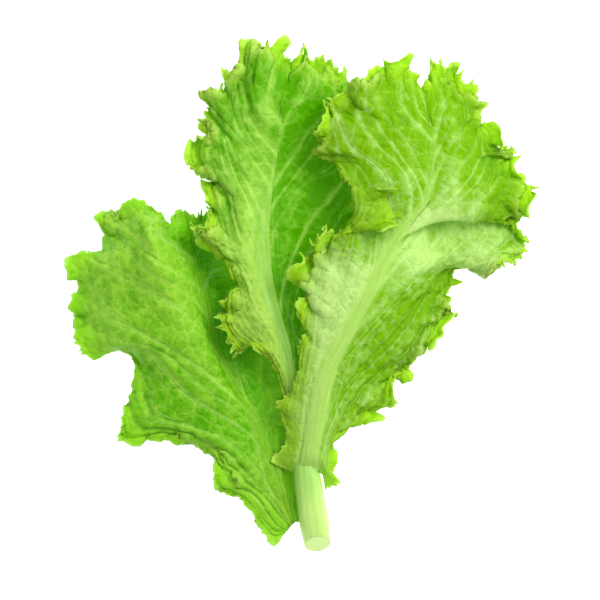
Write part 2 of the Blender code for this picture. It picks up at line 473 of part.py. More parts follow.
def leaf_nets(leaf):
    """Both sides of a leaf as waved nets, and the depth of the rib below each net point."""
    random = np.random.default_rng(leaf["seed"])
    columns = spread_columns(leaf)
    rib = curve_through(leaf["rib"], columns)
    edge, lobes, notches = edge_curves(leaf, columns)
    place = walked_length(edge)
    place -= place[NET_COLUMNS]
    waves = []
    for wave in (LONG_WAVE, SHORT_WAVE):
        phase = PHASE_DRIFT * seeded_ripple(place, wave[0] * PHASE_DRIFT_LENGTHS, random)
        uneven = STRENGTH_DRIFT * seeded_ripple(place, wave[0] * STRENGTH_DRIFT_LENGTHS, random)
        waves.append((wave, phase, MEAN_STRENGTH + uneven))
    rib_depth = curve_through(leaf["rib_depth"], columns)[:, 0]
    nets = []
    for side, flip in (("left", 1.0), ("right", -1.0)):
        pick = slice(0, NET_COLUMNS + 1) if side == "left" else slice(None, NET_COLUMNS - 1, -1)
        net, places, length, half_width = calm_side(
            leaf, side, columns, rib, edge[pick], lobes[pick], notches[pick]
        )
        swing = np.interp(columns, *np.array(leaf["swing"][side]).T)
        chosen = [(wave, phase[pick], strength[pick] * swing) for wave, phase, strength in waves]
        net = wave_side(net, places, length, place[pick], chosen, flip)
        from_rib = np.linalg.norm(net - net[:, :1], axis=2) / half_width[:, None]
        depth = rib_depth[:, None] * np.clip(1.0 - from_rib ** 2, 0.0, 1.0)
        nets.append((net, depth))
    return nets


def empty_heights():
    """Grid over the surface that holds the height of what already lies in each cell."""
    cells = int(2 * SHEET_HALF_WIDTH / HEIGHT_CELL)
    return np.zeros((cells, cells))


def cell_of(net):
    """Grid cell and place within the cell of every net point."""
    cells = (net[..., :2] + SHEET_HALF_WIDTH) / HEIGHT_CELL - 0.5
    low = np.floor(cells).astype(int)
    return low, cells - low


def add_to_heights(heights, nets):
    """Raise the grid to the leaf's highest point in each cell, sloping down around its outline."""
    raised = heights.copy()
    for net, _ in nets:
        low, _ = cell_of(net)
        for across in (0, 1):
            for up in (0, 1):
                np.maximum.at(raised, (low[..., 0] + across, low[..., 1] + up), net[..., 2])
    fall = FALL_OFF_SLOPE * HEIGHT_CELL
    for _ in range(SPREADING_ROUNDS):
        for axis in (0, 1):
            for way in (1, -1):
                raised = np.maximum(raised, np.roll(raised, way, axis=axis) - fall)
    return np.maximum(raised, heights)


def height_below(heights, net):
    """Height of the grid under each net point, blended between the four cells round it."""
    low, part = cell_of(net)
    x = low[..., 0]
    y = low[..., 1]
    left = heights[x, y] * (1 - part[..., 1]) + heights[x, y + 1] * part[..., 1]
    right = heights[x + 1, y] * (1 - part[..., 1]) + heights[x + 1, y + 1] * part[..., 1]
    return left * (1 - part[..., 0]) + right * part[..., 0]


def lay_down(nets, heights):
    """Lift every net point clear of what lies below it, and keep the leaf on the surface."""
    for net, depth in nets:
        below = height_below(heights, net)
        need = np.where(below > 0.0, below + LEAF_GAP, 0.0) + BLADE_HALF_THICKNESS + depth
        over = net[..., 2] - need
        softness = np.where(below > 0.0, SOFT_LIFT, SOFT_LANDING)
        net[..., 2] = need + softness * np.logaddexp(0.0, over / softness)


def picked_rows():
    """Rows of the solid, each with the spacing of its columns: coarse by the rib, fine at the edge."""
    rows = [(row, COLUMN_STEP_NEAR_RIB) for row in ROWS_NEAR_RIB]
    rows += [(row, COLUMN_STEP_MIDWAY) for row in ROWS_MIDWAY]
    rows += [(row, COLUMN_STEP_AT_EDGE) for row in ROWS_AT_EDGE]
    return rows


def number_side(rows, first_free, rib_numbers, tip_numbers):
    """Vertex numbers of one side, row by row, sharing the rib and, on the second side, the tip."""
    numbered = [rib_numbers]
    for order, (_, step) in enumerate(rows[1:]):
        count = NET_COLUMNS // step + 1
        fresh = count if tip_numbers is None else count - 1
        numbers = list(range(first_free, first_free + fresh))
        first_free += fresh
        if tip_numbers is not None:
            numbers.append(tip_numbers[order])
        numbered.append(numbers)
    return numbered, first_free


def strip(inner, outer):
    """Triangles between two rows, the outer with as many columns as the inner or twice as many."""
    ratio = (len(outer) - 1) // (len(inner) - 1)
    faces = []
    for i in range(len(inner) - 1):
        a, b = inner[i], inner[i + 1]
        if ratio == 1:
            c, d = outer[i], outer[i + 1]
            faces += [(a, c, b), (b, c, d)]
        else:
            c, m, d = outer[2 * i], outer[2 * i + 1], outer[2 * i + 2]
            faces += [(a, c, m), (a, m, b), (b, m, d)]
    return faces


def leaf_sheet(nets):
    """Vertices, triangles and outline of the leaf's middle sheet, and the rib's depth at each vertex."""
    rows = picked_rows()
    (left, left_depth), (right, right_depth) = nets
    points = []
    depths = []

    def take(net, depth, row, step, drop_tip):
        columns = list(range(0, NET_COLUMNS + 1, step))
        if drop_tip:
            columns = columns[:-1]
        points.extend(net[columns, row])
        depths.extend(depth[columns, row])

    take(left, left_depth, 0, rows[0][1], False)
    rib_numbers = list(range(len(points)))
    left_rows, next_free = number_side(rows, len(points), rib_numbers, None)
    for row, step in rows[1:]:
        take(left, left_depth, row, step, False)
    tips = [numbers[-1] for numbers in left_rows[1:]]
    right_rows, _ = number_side(rows, next_free, rib_numbers, tips)
    for row, step in rows[1:]:
        take(right, right_depth, row, step, True)
    faces = []
    for inner, outer in zip(left_rows[:-1], left_rows[1:]):
        faces += strip(inner, outer)
    for inner, outer in zip(right_rows[:-1], right_rows[1:]):
        faces += [(a, c, b) for a, b, c in strip(inner, outer)]
    outline = [numbers[0] for numbers in left_rows[:-1]] + left_rows[-1]
    outline += right_rows[-1][-2::-1] + [numbers[0] for numbers in right_rows[-2:0:-1]]
    return np.array(points), np.array(faces), outline, np.array(depths)


def vertex_normals(points, faces):
    """Mean of the normals of the triangles round each vertex, weighted by their area."""
    corner = points[faces]
    face_normal = np.cross(corner[:, 1] - corner[:, 0], corner[:, 2] - corner[:, 0])
    normal = np.zeros_like(points)
    for k in range(3):
        np.add.at(normal, faces[:, k], face_normal)
    return normal / np.maximum(np.linalg.norm(normal, axis=1, keepdims=True), 1e-9)


def thicken(points, faces, outline, depths):
    """Closed solid round the sheet: both faces split alike, joined round the outline."""
    normal = vertex_normals(points, faces)
    if normal[:, 2].mean() < 0:
        faces = faces[:, ::-1]
        outline = outline[::-1]
        normal = -normal
    count = len(points)
    top = points + normal * BLADE_HALF_THICKNESS
    bottom = points - normal * (BLADE_HALF_THICKNESS + depths[:, None])
    bottom[:, 2] = np.maximum(bottom[:, 2], 0.0)
    closing = []
    for here, ahead in zip(outline, outline[1:] + outline[:1]):
        closing += [(here + count, ahead, here), (here + count, ahead + count, ahead)]
    first = tuple(outline[:2])
    forward = any(tuple(pair) == first for pair in directed_edges(faces))
    if not forward:
        closing = [face[::-1] for face in closing]
    every = np.concatenate([faces, faces[:, ::-1] + count, np.array(closing)])
    return np.concatenate([top, bottom]), every


def crossed_vertices(points, faces):
    """Vertices of triangles that cut through another triangle of the same solid."""
    tree = BVHTree.FromPolygons(points.tolist(), faces.tolist())
    found = set()
    for a, b in tree.overlap(tree):
        if a < b and not set(faces[a]) & set(faces[b]):
            found.update(faces[a])
            found.update(faces[b])
    return sorted(found)


def ease_crossings(points, faces, outline, depths):
    """Smooth the sheet a little at a time wherever its solid would cut through itself."""
    count = len(points)
    neighbours = [set() for _ in range(count)]
    for a, b in directed_edges(faces):
        neighbours[a].add(b)
        neighbours[b].add(a)
    for easing_round in range(EASING_ROUNDS):
        solid = thicken(points, faces, outline, depths)
        crossed = {vertex % count for vertex in crossed_vertices(*solid)}
        if not crossed:
            break
        if easing_round > EASING_ROUNDS_ALONE:
            crossed = crossed.union(*(neighbours[vertex] for vertex in crossed))
        eased = points.copy()
        for vertex in crossed:
            around = sorted(neighbours[vertex])
            towards = points[around].mean(axis=0) - points[vertex]
            eased[vertex] = points[vertex] + EASING_SHARE * towards
            depths[vertex] *= RIB_KEPT_WHEN_EASED
        points = eased
    return thicken(points, faces, outline, depths)


def directed_edges(faces):
    """Every triangle's three edges in the order that it runs round them."""
    for a, b, c in faces:
        yield a, b
        yield b, c
        yield c, a


def stem_mesh():
    """Tapered stalk: rings along its axis, flat where it rests, with a leaning cut at its free end."""
    start = np.array(STEM_CUT_END)
    end = np.array(STEM_LEAF_END)
    part = np.linspace(0.0, 1.0, STEM_RINGS)
    knots = np.linspace(0.0, 1.0, len(STEM_HALF_WIDTHS))
    half_width = curve_through(list(zip(knots, STEM_HALF_WIDTHS)), part)[:, 0]
    half_height = curve_through(list(zip(knots, STEM_HALF_HEIGHTS)), part)[:, 0]
    angle = np.linspace(0.0, 2 * math.pi, STEM_SIDES, endpoint=False)
    axis = (end - start)[:2] / np.linalg.norm((end - start)[:2])
    side = np.array([axis[1], -axis[0]])
    points = []
    for i, along in enumerate(part):
        centre = start + (end - start) * along
        ridge = 1.0 + STEM_RIDGE_HEIGHT * np.cos(STEM_RIDGES * angle + 1.0)
        across = np.cos(angle) * half_width[i] * ridge
        up = np.sin(angle) * half_height[i] * ridge
        lean = up * STEM_CUT_LEAN * (1.0 - along) ** 2
        ring = np.stack([
            centre[0] + side[0] * across + axis[0] * lean,
            centre[1] + side[1] * across + axis[1] * lean,
            np.maximum(centre[2] + up, 0.0),
        ], axis=1)
        points.append(ring)
    points[-1][:, 1] = end[1]
    points = np.concatenate(points)
    faces = []
    for i in range(STEM_RINGS - 1):
        for j in range(STEM_SIDES):
            ahead = (j + 1) % STEM_SIDES
            a, b = i * STEM_SIDES + j, i * STEM_SIDES + ahead
            faces.append((a, b, b + STEM_SIDES, a + STEM_SIDES))
    faces.append(tuple(range(STEM_SIDES))[::-1])
    faces.append(tuple((STEM_RINGS - 1) * STEM_SIDES + j for j in range(STEM_SIDES)))
    return points, [face[::-1] for face in faces]


def plain_material(name, colour, roughness):
    """Principled material of one colour."""
    material = bpy.data.materials.new(name)
    material.use_nodes = True
    shader = material.node_tree.nodes["Principled BSDF"]
    shader.inputs["Base Color"].default_value = colour
    shader.inputs["Roughness"].default_value = roughness
    shader.inputs["Metallic"].default_value = 0.0
    return material


def make_object(name, points, faces, material):
    """Object whose mesh holds the points, in metres, with smooth shading and faces pointing out."""
    mesh = bpy.data.meshes.new(name)
    mesh.from_pydata((points * METRES_PER_MM).tolist(), [], [tuple(map(int, face)) for face in faces])
    mesh.validate()
    mesh.shade_smooth()
    mesh.materials.append(material)
    piece = bpy.data.objects.new(name, mesh)
    bpy.context.collection.objects.link(piece)
    return piece


def centre_on_footprint(solids):
    """Move every solid so that the whole has its origin at the middle of its footprint."""
    everything = np.concatenate([points for points, _ in solids.values()])
    low = everything.min(axis=0)
    high = everything.max(axis=0)
    shift = np.array([(low[0] + high[0]) / 2, (low[1] + high[1]) / 2, low[2]])
    for points, _ in solids.values():
        points -= shift


def build():
    """Make the stem and the leaves from the lowest to the highest."""
    for piece in list(bpy.data.objects):
        bpy.data.objects.remove(piece, do_unlink=True)
    solids = {"stem": stem_mesh()}
    heights = empty_heights()
    for leaf in (LEFT_LEAF, MIDDLE_LEAF, RIGHT_LEAF):
        nets = leaf_nets(leaf)
        lay_down(nets, heights)
        heights = add_to_heights(heights, nets)
        points, faces = ease_crossings(*leaf_sheet(nets))
        lowest = points[:, 2].min()
        if lowest < LANDING_REACH:
            points[:, 2] -= lowest
        solids[leaf["name"]] = (points, faces)
    centre_on_footprint(solids)
    materials = {
        "stem": plain_material("stem_flesh", STEM_PALE, STEM_ROUGHNESS),
        "left_leaf": plain_material("left_leaf_green", LEFT_GREEN, LEAF_ROUGHNESS),
        "middle_leaf": plain_material("middle_leaf_green", MIDDLE_GREEN, LEAF_ROUGHNESS),
        "right_leaf": plain_material("right_leaf_green", RIGHT_GREEN, LEAF_ROUGHNESS),
    }
    for name, (points, faces) in solids.items():
        make_object(name, points, faces, materials[name])


build()
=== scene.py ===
"""Looks of a sprig of frilly leaf lettuce: three large leaves on one short cut stem, seen from above.

The leaves follow the same curves as the solids, with finer waves along their edges, puckers between
the veins, and materials that let light through. Lengths in the tables are millimetres.
"""
import math

import bpy
import numpy as np
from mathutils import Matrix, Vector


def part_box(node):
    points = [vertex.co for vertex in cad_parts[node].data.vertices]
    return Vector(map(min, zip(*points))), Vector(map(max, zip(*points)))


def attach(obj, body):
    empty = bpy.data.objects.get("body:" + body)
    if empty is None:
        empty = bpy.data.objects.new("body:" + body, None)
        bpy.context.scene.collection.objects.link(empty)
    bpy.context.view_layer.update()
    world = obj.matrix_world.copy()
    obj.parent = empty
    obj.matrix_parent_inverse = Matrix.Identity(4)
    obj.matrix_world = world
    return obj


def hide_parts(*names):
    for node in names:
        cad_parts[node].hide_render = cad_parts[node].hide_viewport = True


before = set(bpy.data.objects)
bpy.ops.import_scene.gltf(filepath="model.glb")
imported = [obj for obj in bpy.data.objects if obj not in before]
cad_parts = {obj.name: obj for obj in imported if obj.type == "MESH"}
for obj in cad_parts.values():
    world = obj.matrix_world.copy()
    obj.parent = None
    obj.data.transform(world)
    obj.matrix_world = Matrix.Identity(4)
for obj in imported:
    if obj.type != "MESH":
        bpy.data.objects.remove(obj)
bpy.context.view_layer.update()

MM = 0.001

# Leaf blade, and how the leaves lie on each other
BLADE_HALF_THICKNESS = 0.3
EDGE_THICKNESS_SHARE = 0.45
EDGE_THINNING_BAND = 2.0
LOWEST_TOP = 0.15
LEAF_GAP = 1.0
FALL_OFF_SLOPE = 1.1
FALL_OFF_ROUNDS = 14
HEIGHT_CELL = 1.5
SOFT_LIFT = 0.6
SOFT_LANDING = 1.2
SHEET_HALF_WIDTH = 130.0

# Drawing of uneven curves: samples along an edge, how many spreads a smoothing reaches, and the sines
# that make a ripple along a line and a crumple in space, with what brings each sum to about 1
EDGE_SAMPLES = 4001
SMOOTHING_REACH = 3
RIPPLE_STRETCHES = (1.0, 1.37, 0.71)
RIPPLE_SUM = 2.2
CRUMPLE_SINES = 8
CRUMPLE_SUM = 3.2

# A vector shorter than this, in millimetres, has no direction
NO_LENGTH = 1e-9

# Fineness of the nets: columns run along the veins, rows run beside the rib. Each band of rows reaches
# a share of the way from rib to edge, and takes every so manyth column
NET_COLUMNS = 1024
RIB_ROWS = 6
RIB_GREATEST_SHARE = 0.45
ROW_BANDS = ((0.35, 8, 8), (0.7, 14, 4), (0.92, 16, 2), (1.0, 8, 1))

# How the lobes, the notches and the edge's drift fade towards the rib, as powers of the place across
LOBE_RISE_POWER = 2.5
NOTCH_RISE_POWER = 5
DRIFT_RISE_POWER = 3
EDGE_SMOOTHING_WIDE = 15.0
EDGE_SMOOTHING_NARROW = 5.0

# Waves of the leaf edge, from long to crimped: length along the edge, greatest swing, width of the waved
# band, and twist. Their phase, strength and turn drift along the edge, over so many wavelengths
EDGE_WAVES = ((34.0, 0.38, 42.0, 0.0), (14.5, 1.0, 16.0, 0.6), (7.4, 0.95, 9.5, 0.5), (3.6, 0.5, 4.0, 0.4))
PHASE_DRIFT_LENGTH = 4.0
PHASE_DRIFT = 1.4
STRENGTH_DRIFT_LENGTH = 2.7
STRENGTH_DRIFT = 0.3
MEAN_STRENGTH = 0.75
TURN_DRIFT_LENGTH = 3.0
WAVE_RISE_POWER = 1.5
WIDEST_WAVED_SHARE = 0.8
FULL_WAVE_LENGTH = 32.0
NARROW_CALM_POWER = 1.25
STEEPEST_RISE = 1.6
STEEPEST_FALL = 1.0
FOLD_OVER = 0.36
CURL_BAND = 13.0
CURL_UNEVEN = 0.6
CURL_SPACING = 38.0
DRIFT_SMOOTHING = 7.0

# Teeth of the edge, with finer ones among them
TOOTH_SPACING = 4.6
TOOTH_BAND = 4.6
TOOTH_REACH = 1.0
TOOTH_TIP = 0.7
TOOTH_DEPTH = 1.6
FINE_TOOTH_DEPTH = 0.4
FINE_TEETH_TO_EACH = 2.3
TOOTH_LIMITS = (-0.75, 0.5)

# Second frill: an S-fold beside the edge. It comes and goes along the edge, and its line wanders. The push
# and the lift fade by their reaches inside the line, and fall to nothing within their falls outside it
LEDGE_FROM_EDGE = 8.5
LEDGE_WANDER = 2.6
FINE_LEDGE_WANDER = 0.5
FINE_LEDGES_TO_EACH = 3.5
LEDGE_OVERLAP = 4.4
LEDGE_HEIGHT = 2.8
LEDGE_SPACING = 8.0
LEDGE_RUN = 2.5
LEDGE_MEAN = 0.45
LEDGE_SWING = 1.1
GREATEST_LEDGE = 1.6
LEDGE_WIDTHS = (20.0, 34.0)
PUSH_REACH = 3.0
PUSH_FALL = 2.2
LIFT_REACH = 7.0
LIFT_FALL = 2.6
# Width of the band along the fold line where a highlight is painted
LEDGE_HIGHLIGHT_WIDTH = 0.9

# Course of the veins: a power of the place across, and how uneven and wavy they are
VEIN_SWEEP_POWER = 0.75
VEIN_UNEVEN = 0.3
VEIN_UNEVEN_RUN = 3.3
VEIN_WANDER = 0.3
VEIN_WANDER_SPACING = 60.0
VEIN_WAVE = 0.07
VEIN_WAVE_ACROSS = 9.0
VEIN_WAVE_ALONG = 2.3
FEWEST_VEINS_SHARE = 0.5

# Relief between the veins: widths of the dips are in parts of the way from vein to vein
SIDE_VEIN_START = 0.2
SIDE_VEIN_SPREAD = 0.31
SIDE_VEIN_POWER = 0.8
MAIN_PUCKER = 0.075
MAIN_DIP_WIDTH = 0.17
SIDE_PUCKER = 0.04
SIDE_DIP_WIDTH = 0.08
GREATEST_PUCKER = 1.6
PUCKER_START = (0.02, 0.25)
PUCKER_BOLDNESS = (0.35, 1.5)
MOST_VEINS = 200
CRUMPLES = ((26.0, 0.8), (11.0, 0.25))
CRUMPLE_START = (0.03, 0.2)
CRUMPLE_WIDTHS = (8.0, 34.0)
FINE_CRUMPLES = ((6.0, 0.2), (3.2, 0.13))

# Rib, with the groove beside it; places and widths are in half widths of the rib
RIB_ROUNDING = 0.17
RIB_PALE_FADE = (0.6, 1.1)
GROOVE_PLACE = 1.15
GROOVE_WIDTH = 0.2
GROOVE_FADE = (0.25, 0.5)
RIB_STRANDS = 2.6
RIB_STRAND_HEIGHT = 0.01
BASE_SINK_REACH = 0.035

# How far round each point its surroundings are averaged, in columns and in rows, to find the hollows,
# painted darker as shade, and what stands out, painted lighter
HOLLOW_COLUMNS = 5
HOLLOW_ROWS = 2
HOLLOW_ROUNDS = 2

# Stem: its ridges are (how many round it, height, turn, twist along it)
STEM_CUT_END = (7.6, -104.6, 5.4)
STEM_LEAF_END = (1.8, -69.0, 6.3)
STEM_HALF_WIDTHS = (5.6, 6.4, 6.1, 5.9, 5.0)
STEM_HALF_HEIGHTS = (5.9, 6.5, 6.4, 6.4, 5.5)
STEM_CUT_LEAN = 0.62
STEM_SIDES = 144
STEM_RINGS = 90
STEM_CAP_RINGS = 10
STEM_CAP_REACH = (0.04, 0.93)
STEM_RIM_SHARE = 0.95
STEM_RIDGES = ((5, 0.02, 1.0, 0.0), (13, 0.008, 0.0, 5.0))

# Patterns of the blade's colour, as repeats to a metre: pale-walled cells, bent by a slow noise, clouds,
# crinkles and grain. Cell walls and insides are ranges of the distance to the nearest wall
CELLS = 160.0
SMALL_CELLS = 380.0
CELL_BEND = (120.0, 0.006)
CELL_WALL = (0.07, 0.01)
CELL_INSIDE = (0.0, 0.24)
SMALL_CELL_INSIDE = (0.0, 0.22)
CLOUDS = 70.0
CRINKLES = 330.0
CRINKLE_ROUGHNESS = 0.6
GRAIN = 900.0
SHEEN_PATCHES = 240.0

# Tone of the blade, from -1 for dark to 1 for pale: what each mark adds. Crumple crests add a painted
# highlight, frill crests and standing parts painted light, frill troughs and hollows painted shade
CLOUD_TONE = 0.3
CELL_TONE = -0.12
SMALL_CELL_TONE = -0.12
CREST_HIGHLIGHT = 0.25
FRILL_LIGHT_AND_SHADE = 0.7
STANDING_LIGHT_AND_SHADE = 0.4
TONE_START = -0.7
CREST_RANGE = (0.05, 0.6)
FRILL_RANGE = (-0.7, 0.7)
STANDING_RANGE = (-0.4, 0.4)
STREAK_REACH = (0.3, 0.0)

# Yellower towards the edge, less in frill troughs and hollows as painted shade, with painted highlights at
# the rims; reaches are millimetres from the edge
YELLOW_REACH = (14.0, 1.0)
YELLOW_FRILL = 0.35
YELLOW_STANDING = 0.5
YELLOW_EVERYWHERE = 0.3
RIM_HIGHLIGHT_REACH = (1.6, 0.4)
RIM_HIGHLIGHT_STRENGTH = 0.65
RIB_EDGE_FADE = (2.0, 8.0)

# Veins and strands
LEAST_VEIN_BOLDNESS = 0.35
VEIN_STRENGTH = 0.5
VEIN_WIDTH_AT_RIB = 0.08
VEIN_NARROWING = -0.06
MAIN_VEIN_WIDTH = (1.0, 0.2)
SIDE_VEIN_WIDTH = (0.03, 0.006)
SIDE_VEIN_REACH = (0.2, 0.3)
SIDE_VEIN_STRENGTH = 0.65
FINE_VEIN_START = 0.5
FINE_VEIN_SPREAD = -0.2
FINE_VEIN_WIDTH = (0.02, 0.004)
FINE_VEIN_REACH = (0.5, 0.62)
FINE_VEIN_STRENGTH = 0.4
VEIN_FADE = (1.15, 0.55)
STRANDS_ACROSS = 4.0
STRANDS_ALONG = 0.35
STRAND_RANGE = (0.5, 0.7)
STRAND_STRENGTH = 0.3
RIB_STRAND_RANGE = (0.25, 0.85)
# How strongly the painted highlight in the groove beside the rib shows
GROOVE_HIGHLIGHT_STRENGTH = 0.8

# Surface of the leaf: glow of the light that passes through, roughness, and bumps whose height is in metres
GLOW_SHARE = 0.5
LEAST_ROUGHNESS = 0.3
ROUGHNESS_SPREAD = 0.16
CELL_BUMP = 1.6
SMALL_CELL_BUMP = 0.5
CRINKLE_BUMP = 1.5
GRAIN_BUMP = 0.35
BUMP_HEIGHT = 0.0004
BUMP_STRENGTH = 0.5

# Stem flesh: long fibres that follow the stem, which leans by this angle
FIBRES = 900.0
FIBRE_LEAN = -0.167
FIBRE_STRETCH = 0.12
FIBRE_BUMP_HEIGHT = 0.0003
FIBRE_BUMP_STRENGTH = 0.4
GREENER_TOWARDS_LEAF = (0.3, 0.95)
CUT_RANGE = (0.2, 0.8)
STEM_LEAST_ROUGHNESS = 0.28
STEM_ROUGHNESS_SPREAD = 0.2
FLESH_GLOW = 0.25
FLESH_GLOW_REACH = (0.004, 0.005, 0.002)
FIBRE_GREEN = (160, 206, 84)
FIBRE_PALE = (194, 228, 132)
LEAF_END_GREEN = (146, 196, 84)
CUT_PALE = (196, 230, 122)

# Floor and light
FLOOR_WIDTH = 6.0
FLOOR_GREY = 0.93
FLOOR_ROUGHNESS = 0.8
FLOOR_GLOW = 0.8
KEY_PLACE = (0.75, 0.75, 1.05)
KEY_SIZE = 0.8
KEY_POWER = 22.0
SURROUND_STRENGTH = 0.72

# Camera straight above, framing the width that the photograph shows
PHOTO_WIDTH_MM = 258.0
CAMERA_HEIGHT = 1.6
SENSOR_WIDTH_MM = 36.0

# Each rib point is (place along the leaf 0 to 1, x, y, z), with the rib's half width and depth beside it
LEFT_LEAF = {
    "name": "left_leaf",
    "seed": 3,
    "vein_count": {"left": 8, "right": 8},
    "vein_sweep": 0.45,
    "calm_base": (-0.05, 0.1),
    "base_sink": 0.0,
    "groove": {"left": 0.2, "right": 0.2},
    "curl": {
        "left": [(0.0, 0.1), (0.05, 0.4), (0.15, 0.9), (0.24, 0.5), (0.3, 0.1), (0.45, 0.2), (0.8, 0.35),
                 (1.0, 0.3)],
        "right": [(0.0, 0.1), (1.0, 0.3)],
    },
    "ledge": {
        "left": [(0.0, 0.0), (0.05, 0.6), (0.2, 0.8), (0.26, 0.0), (0.6, 0.0), (0.75, 0.4), (1.0, 0.0)],
        "right": [(0.0, 0.0), (1.0, 0.0)],
    },
    "rib_pale": {
        "left": [(0.0, 1.6, 0.4), (0.4, 1.6, 0.5), (0.7, 1.8, 0.35), (1.0, 2.0, 0.0)],
        "right": [(0.0, 1.4, 0.4), (0.4, 1.4, 0.5), (0.7, 1.6, 0.35), (1.0, 2.0, 0.0)],
    },
    "pucker": {"left": 1.1, "right": 0.8},
    # Tone at the rib and at the edge: partly the leaf's own colour, partly painted shade, darker on the
    # right half, which lies in the middle leaf's shadow.
    "tone_and_painted_light": {
        "left": [(0.0, 0.1, 1.0), (0.12, -0.1, 1.1), (0.2, -0.1, 0.7), (0.27, 0.0, 0.2), (0.4, 0.1, 0.6),
                 (0.6, 0.45, 0.8), (0.85, 0.5, 0.6), (1.0, 0.1, 0.1)],
        "right": [
            (0.0, 0.1, 0.2), (0.3, -0.1, -0.1), (0.5, -0.1, -0.3), (0.8, -0.3, -0.5), (1.0, -0.2, -0.2),
        ],
    },
    "rib": [
        (0.00, -3.4, -96.3, 4.6), (0.10, -9.0, -82.0, 5.2), (0.21, -15.5, -64.5, 5.0),
        (0.32, -20.6, -48.6, 4.6), (0.41, -28.0, -36.6, 4.2), (0.51, -36.6, -19.4, 4.0),
        (0.60, -40.0, -4.3, 3.8), (0.69, -42.1, 6.5, 3.8), (0.80, -44.0, 14.5, 4.0),
        (0.90, -45.2, 19.0, 4.3), (1.00, -46.2, 23.0, 4.8),
    ],
    "rib_half_width": [(0.0, 1.6), (0.1, 3.0), (0.3, 2.8), (0.6, 1.6), (1.0, 0.6)],
    "rib_depth": [(0.0, 1.2), (0.1, 2.4), (0.3, 2.4), (0.6, 1.5), (1.0, 0.3)],
    "swing": {
        "left": [(0.0, 0.1), (0.08, 0.25), (0.3, 0.3), (0.4, 0.5), (1.0, 0.55)],
        "right": [(0.0, 0.1), (0.3, 0.4), (1.0, 0.6)],
    },
    "left": [
        (0.25, [
            (0.00, -4.3, -97.4, 4.4), (0.10, -12.0, -83.5, 6.0), (0.21, -20.5, -64.0, 7.5),
            (0.32, -28.5, -47.0, 10.0), (0.41, -37.0, -33.0, 13.0), (0.51, -46.0, -14.0, 18.0),
            (0.60, -52.0, 2.0, 22.0), (0.69, -56.0, 12.0, 25.5), (0.78, -59.0, 19.0, 27.0),
            (0.86, -60.0, 25.0, 25.0), (0.93, -56.0, 28.0, 15.0),
        ]),
        (0.60, [
            (0.00, -5.6, -99.0, 4.0), (0.05, -11.0, -93.5, 4.5), (0.10, -18.0, -85.0, 6.0),
            (0.16, -27.0, -73.0, 8.0), (0.21, -36.0, -62.0, 10.0), (0.27, -52.0, -50.0, 11.0),
            (0.33, -55.0, -40.0, 13.0), (0.40, -60.0, -24.0, 16.0), (0.47, -70.0, -12.0, 17.0),
            (0.55, -74.0, 2.0, 18.0), (0.63, -74.0, 13.0, 20.0), (0.71, -71.0, 22.0, 22.0),
            (0.79, -67.0, 30.0, 23.0), (0.86, -63.0, 32.0, 21.0), (0.93, -56.5, 30.5, 13.0),
        ]),
        (1.00, [
            (0.00, -7.0, -100.8, 3.5), (0.02, -8.8, -103.2, 2.5), (0.035, -11.0, -105.3, 2.0),
            (0.05, -14.5, -102.5, 2.0), (0.07, -18.5, -96.0, 3.0),
            (0.09, -22.0, -90.0, 4.0), (0.11, -28.0, -84.0, 3.0), (0.13, -35.7, -79.8, 2.0),
            (0.15, -38.5, -74.0, 3.0), (0.17, -37.0, -67.0, 5.0), (0.19, -42.0, -61.5, 4.0),
            (0.21, -51.6, -58.9, 3.0), (0.235, -60.2, -57.6, 3.0), (0.255, -68.8, -58.9, 3.0),
            (0.28, -77.0, -61.2, 1.5), (0.30, -75.5, -53.0, 2.5), (0.325, -73.1, -43.0, 3.5),
            (0.35, -70.0, -33.0, 5.0), (0.375, -72.0, -25.0, 5.0), (0.40, -77.4, -18.3, 5.0),
            (0.42, -83.5, -19.5, 4.0), (0.445, -89.4, -24.1, 2.0), (0.47, -95.0, -18.5, 1.5),
            (0.50, -97.0, -9.0, 2.0), (0.53, -97.5, -1.5, 2.0), (0.555, -94.6, 4.5, 4.0),
            (0.575, -95.5, 9.5, 3.0), (0.595, -99.2, 13.8, 2.0), (0.615, -97.3, 18.5, 3.0),
            (0.635, -93.0, 17.3, 5.0), (0.655, -90.0, 21.0, 5.0), (0.675, -86.0, 21.5, 7.0),
            (0.695, -83.5, 27.5, 6.0), (0.715, -80.5, 28.5, 7.0), (0.74, -85.5, 34.8, 1.8),
            (0.765, -81.5, 37.0, 3.0), (0.785, -77.4, 36.0, 7.0), (0.81, -73.5, 42.0, 12.0),
            (0.835, -69.0, 42.0, 13.0), (0.86, -64.5, 41.0, 14.0), (0.885, -61.0, 38.5, 15.0),
            (0.91, -58.5, 35.0, 14.0), (0.94, -55.2, 31.5, 10.0), (0.97, -53.3, 37.0, 8.0),
            (1.00, -49.8, 38.0, 7.0),
        ]),
    ],
    "right": [
        (0.50, [
            (0.00, -2.4, -95.2, 4.4), (0.10, -6.2, -82.5, 3.5), (0.21, -10.0, -66.0, 2.5),
            (0.32, -14.0, -50.0, 2.0), (0.41, -19.5, -38.0, 2.0), (0.51, -28.0, -21.0, 2.0),
            (0.60, -31.0, -6.0, 2.0), (0.69, -34.0, 6.0, 2.2), (0.80, -38.0, 18.0, 3.0),
            (0.90, -42.0, 27.0, 4.5),
        ]),
        (1.00, [
            (0.00, 0.6, -95.5, 3.0), (0.05, 0.4, -90.5, 2.2), (0.10, -0.2, -84.0, 1.8),
            (0.15, -1.4, -76.0, 1.4), (0.21, -3.2, -67.0, 1.2), (0.27, -4.5, -58.0, 1.2),
            (0.33, -4.0, -48.0, 1.0), (0.40, -5.0, -36.0, 1.5), (0.47, -8.0, -24.0, 2.0),
            (0.55, -14.0, -12.0, 2.5), (0.63, -20.0, 0.0, 2.5), (0.71, -25.0, 10.0, 3.0),
            (0.78, -29.0, 20.0, 3.5), (0.84, -33.0, 31.0, 5.0), (0.89, -38.5, 36.5, 7.0),
            (0.93, -42.5, 37.5, 7.5), (0.965, -46.0, 36.5, 7.0), (1.00, -49.8, 38.0, 7.0),
        ]),
    ],
}

